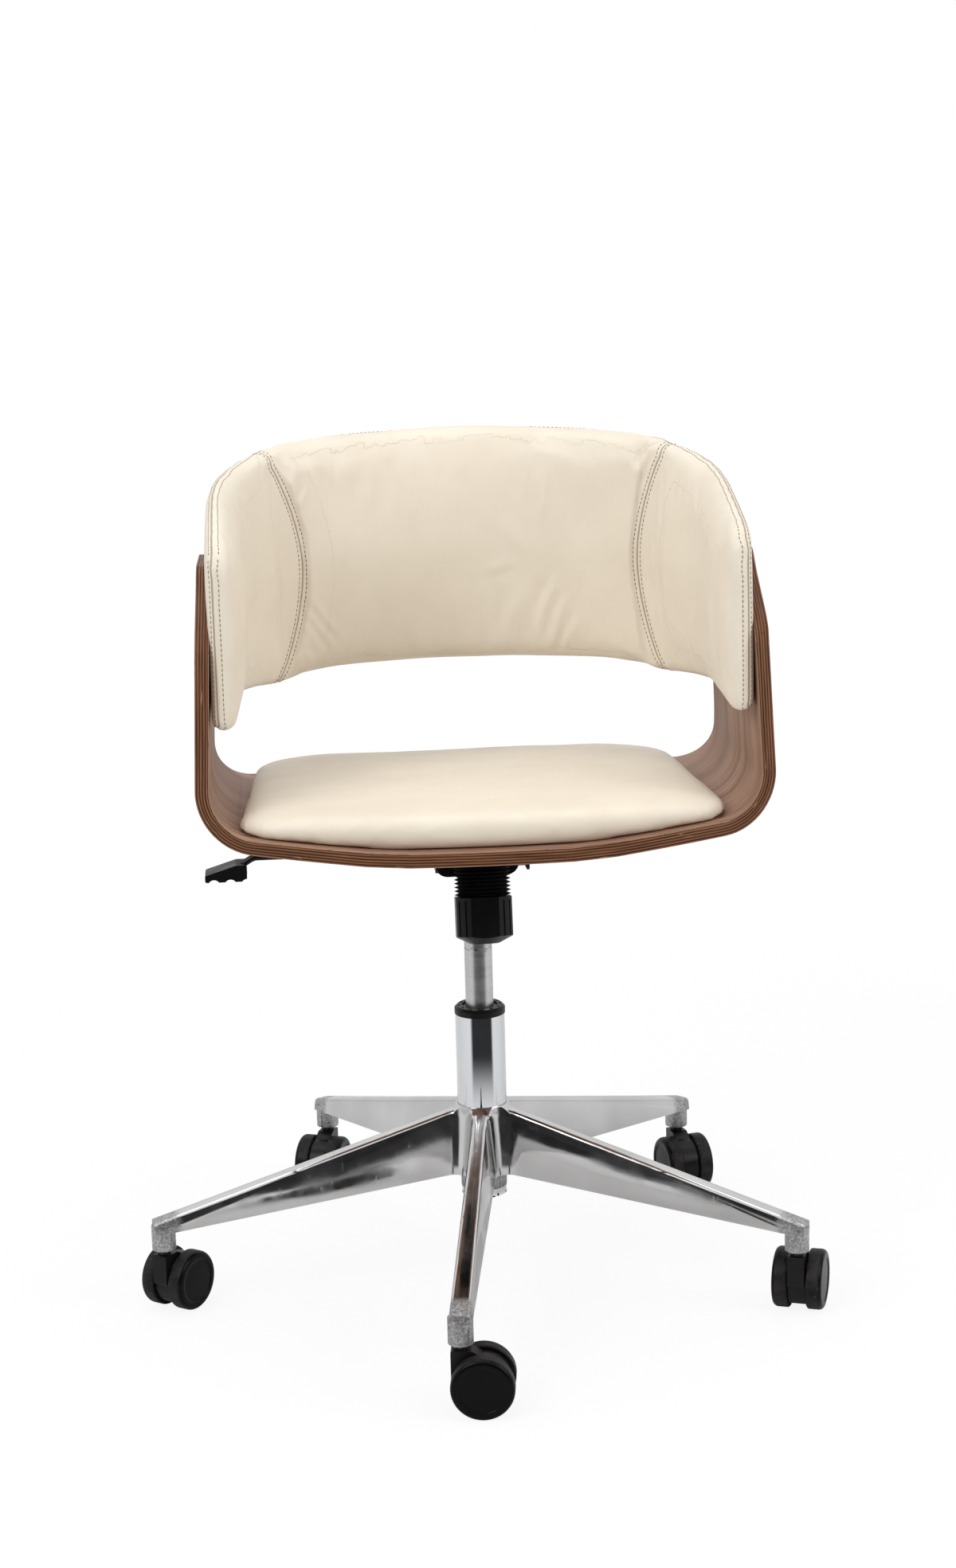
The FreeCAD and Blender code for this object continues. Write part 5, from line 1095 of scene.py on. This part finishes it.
def build_pad():
    stations = pad_stations()
    between = [SECTION_INSET] * (len(stations) - 2 * len(TIP_INSETS))
    insets = [*TIP_INSETS, *between, *TIP_INSETS[::-1]]
    rings = [pad_ring(station, inset) for station, inset in zip(stations, insets)]
    pad = add_object("back_pad_shown", ring_mesh("back_pad_shown", rings))
    remeshed(pad)
    tree = tree_of(pad)
    seams = [Seam(tree, line) for line in (upright_seam(-1), upright_seam(1), rim_seam())]
    inflate(pad, pad_hold(vertices_of(pad.data), seams), cap=0.006, pressure=5.0)
    subdivided(pad)
    move_vertices(pad.data, fitted_in_arms(creased(pad.data)))
    tree = tree_of(pad)
    seams = [Seam(tree, seam.spots) for seam in seams]
    sew(pad.data, seams)
    tree = tree_of(pad)
    rows = [seam.row(tree, aside) for seam in seams[:2] for aside in UPRIGHT_ROWS]
    rows += [seams[2].row(tree, aside) for aside in RIM_ROWS]
    stitches("back_pad_stitching", rows, "seat")
    pad.data.shade_smooth()
    paint(pad, "cream_leather")
    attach(pad, "seat")
    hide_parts("back_pad")


pressed("tension_spring", "plain_steel")
pressed("spring_bellows", "black_rubber")
shell = softened("seat_shell", "seat", "walnut_veneer", 0.0012)
mark_vertices(shell.data, "board", board_frame(vertices_of(shell.data)), "FLOAT_VECTOR", "vector")
softened("star_base", "base", "polished_aluminium", 0.0016, segments=3)
turned("column_tube", "base", "bright_chrome")
for joint in frame["joints"]:
    if joint["child"].startswith("wheel_"):
        build_wheel(joint)
build_cushion()
build_pad()


# Studio

FRONT_EDGE, FRONT_BLUR = 0.85, 0.12
FLOOR_HALF = 30
ROOM_START, ROOM_FULL = 0.5, 0.75
GLOW_START, GLOW_FULL, GLOW_LEAST = 0.8, 2.4, 0.86
PAPER_GLOW = 1.03


def sector(tree, vector):
    """1 for directions and places in front of the object, 0 at its sides and behind it."""
    across, back, _ = tree.parts(vector)
    turn = tree.maths("ARCTAN2", tree.plus(across, tree.times(back, 0.1)),
                      tree.times(back, -1.0))
    return tree.span(tree.maths("ABSOLUTE", turn), FRONT_EDGE - FRONT_BLUR,
                     FRONT_EDGE + FRONT_BLUR, 1, 0, True)


def studio():
    """White to the camera; mirrors see bright sides and, low in front, a dark room."""
    world = bpy.data.worlds.new("studio")
    scene.world = world
    world.use_nodes = True
    tree = NodeTree(world.node_tree)
    path = tree.node("ShaderNodeLightPath")
    direction = tree.coordinates.outputs["Generated"]
    height = tree.parts(direction)[2]
    level = tree.span(height, -1, 1)
    soft = tree.ramp(level, (0.3, 0.22), (0.8, 0.6))
    sides = tree.ramp(level, (0.4, 0.62), (0.75, 0.95))
    room = tree.times(sector(tree, direction), tree.span(height, 0.35, 0.6, 1, 0, True))
    seen = tree.mix(room, sides, (0.03, 0.03, 0.034))
    lit = tree.mix(path.outputs["Is Glossy Ray"], soft, seen)
    plain = tree.mix(path.outputs["Is Camera Ray"], lit, (1, 1, 1))
    tree.feed(tree.tree.nodes["Background"].inputs["Color"], plain)


def lamp(name, place, target, width, height, power):
    light = bpy.data.lights.new(name, "AREA")
    light.shape = "RECTANGLE"
    light.size = width
    light.size_y = height
    light.energy = power
    made = add_object(name, light)
    made.location = place
    made.rotation_euler = (Vector(target) - Vector(place)).to_track_quat("-Z", "Y").to_euler()


def floor():
    """Paper that glows a little to the camera, and shows mirrors the dark room in front."""
    low, high = -FLOOR_HALF, FLOOR_HALF
    mesh = bpy.data.meshes.new("floor")
    mesh.from_pydata([(low, low, 0), (high, low, 0), (high, high, 0), (low, high, 0)], [],
                     [(0, 1, 2, 3)])
    made = add_object("floor", mesh)
    shader = Shader("pale_floor")
    reach = shader.length(shader.place)
    path = shader.node("ShaderNodeLightPath")
    room = shader.times(sector(shader, shader.place),
                        shader.span(reach, ROOM_START, ROOM_FULL, 0, 1, True))
    shade = shader.times(room, path.outputs["Is Glossy Ray"])
    shader.set(Base_Color=shader.mix(shade, (0.8, 0.8, 0.8), (0.03, 0.03, 0.032)),
               Roughness=0.9, Specular_IOR_Level=0.0)
    share = shader.times(path.outputs["Is Camera Ray"],
                         shader.span(reach, GLOW_START, GLOW_FULL, GLOW_LEAST, 1.0, True))
    glow = shader.node("ShaderNodeEmission", {"Color": (1, 1, 1), "Strength": PAPER_GLOW})
    mix = shader.node("ShaderNodeMixShader", {
        0: share, 1: shader.surface.outputs[0], 2: glow.outputs[0]})
    shader.feed(shader.tree.nodes["Material Output"].inputs["Surface"], mix.outputs[0])
    mesh.materials.append(shader.material)


scene.view_settings.view_transform = "Standard"
studio()
floor()
lamp("key", (-2.2, -2.0, 2.6), (0, 0, 0.5), 1.8, 1.8, 50)
lamp("fill", (2.6, -1.6, 1.8), (0, 0, 0.5), 1.6, 1.8, 34)
lamp("top", (0, 0.2, 3.2), (0, 0, 0.4), 2.4, 2.0, 28)
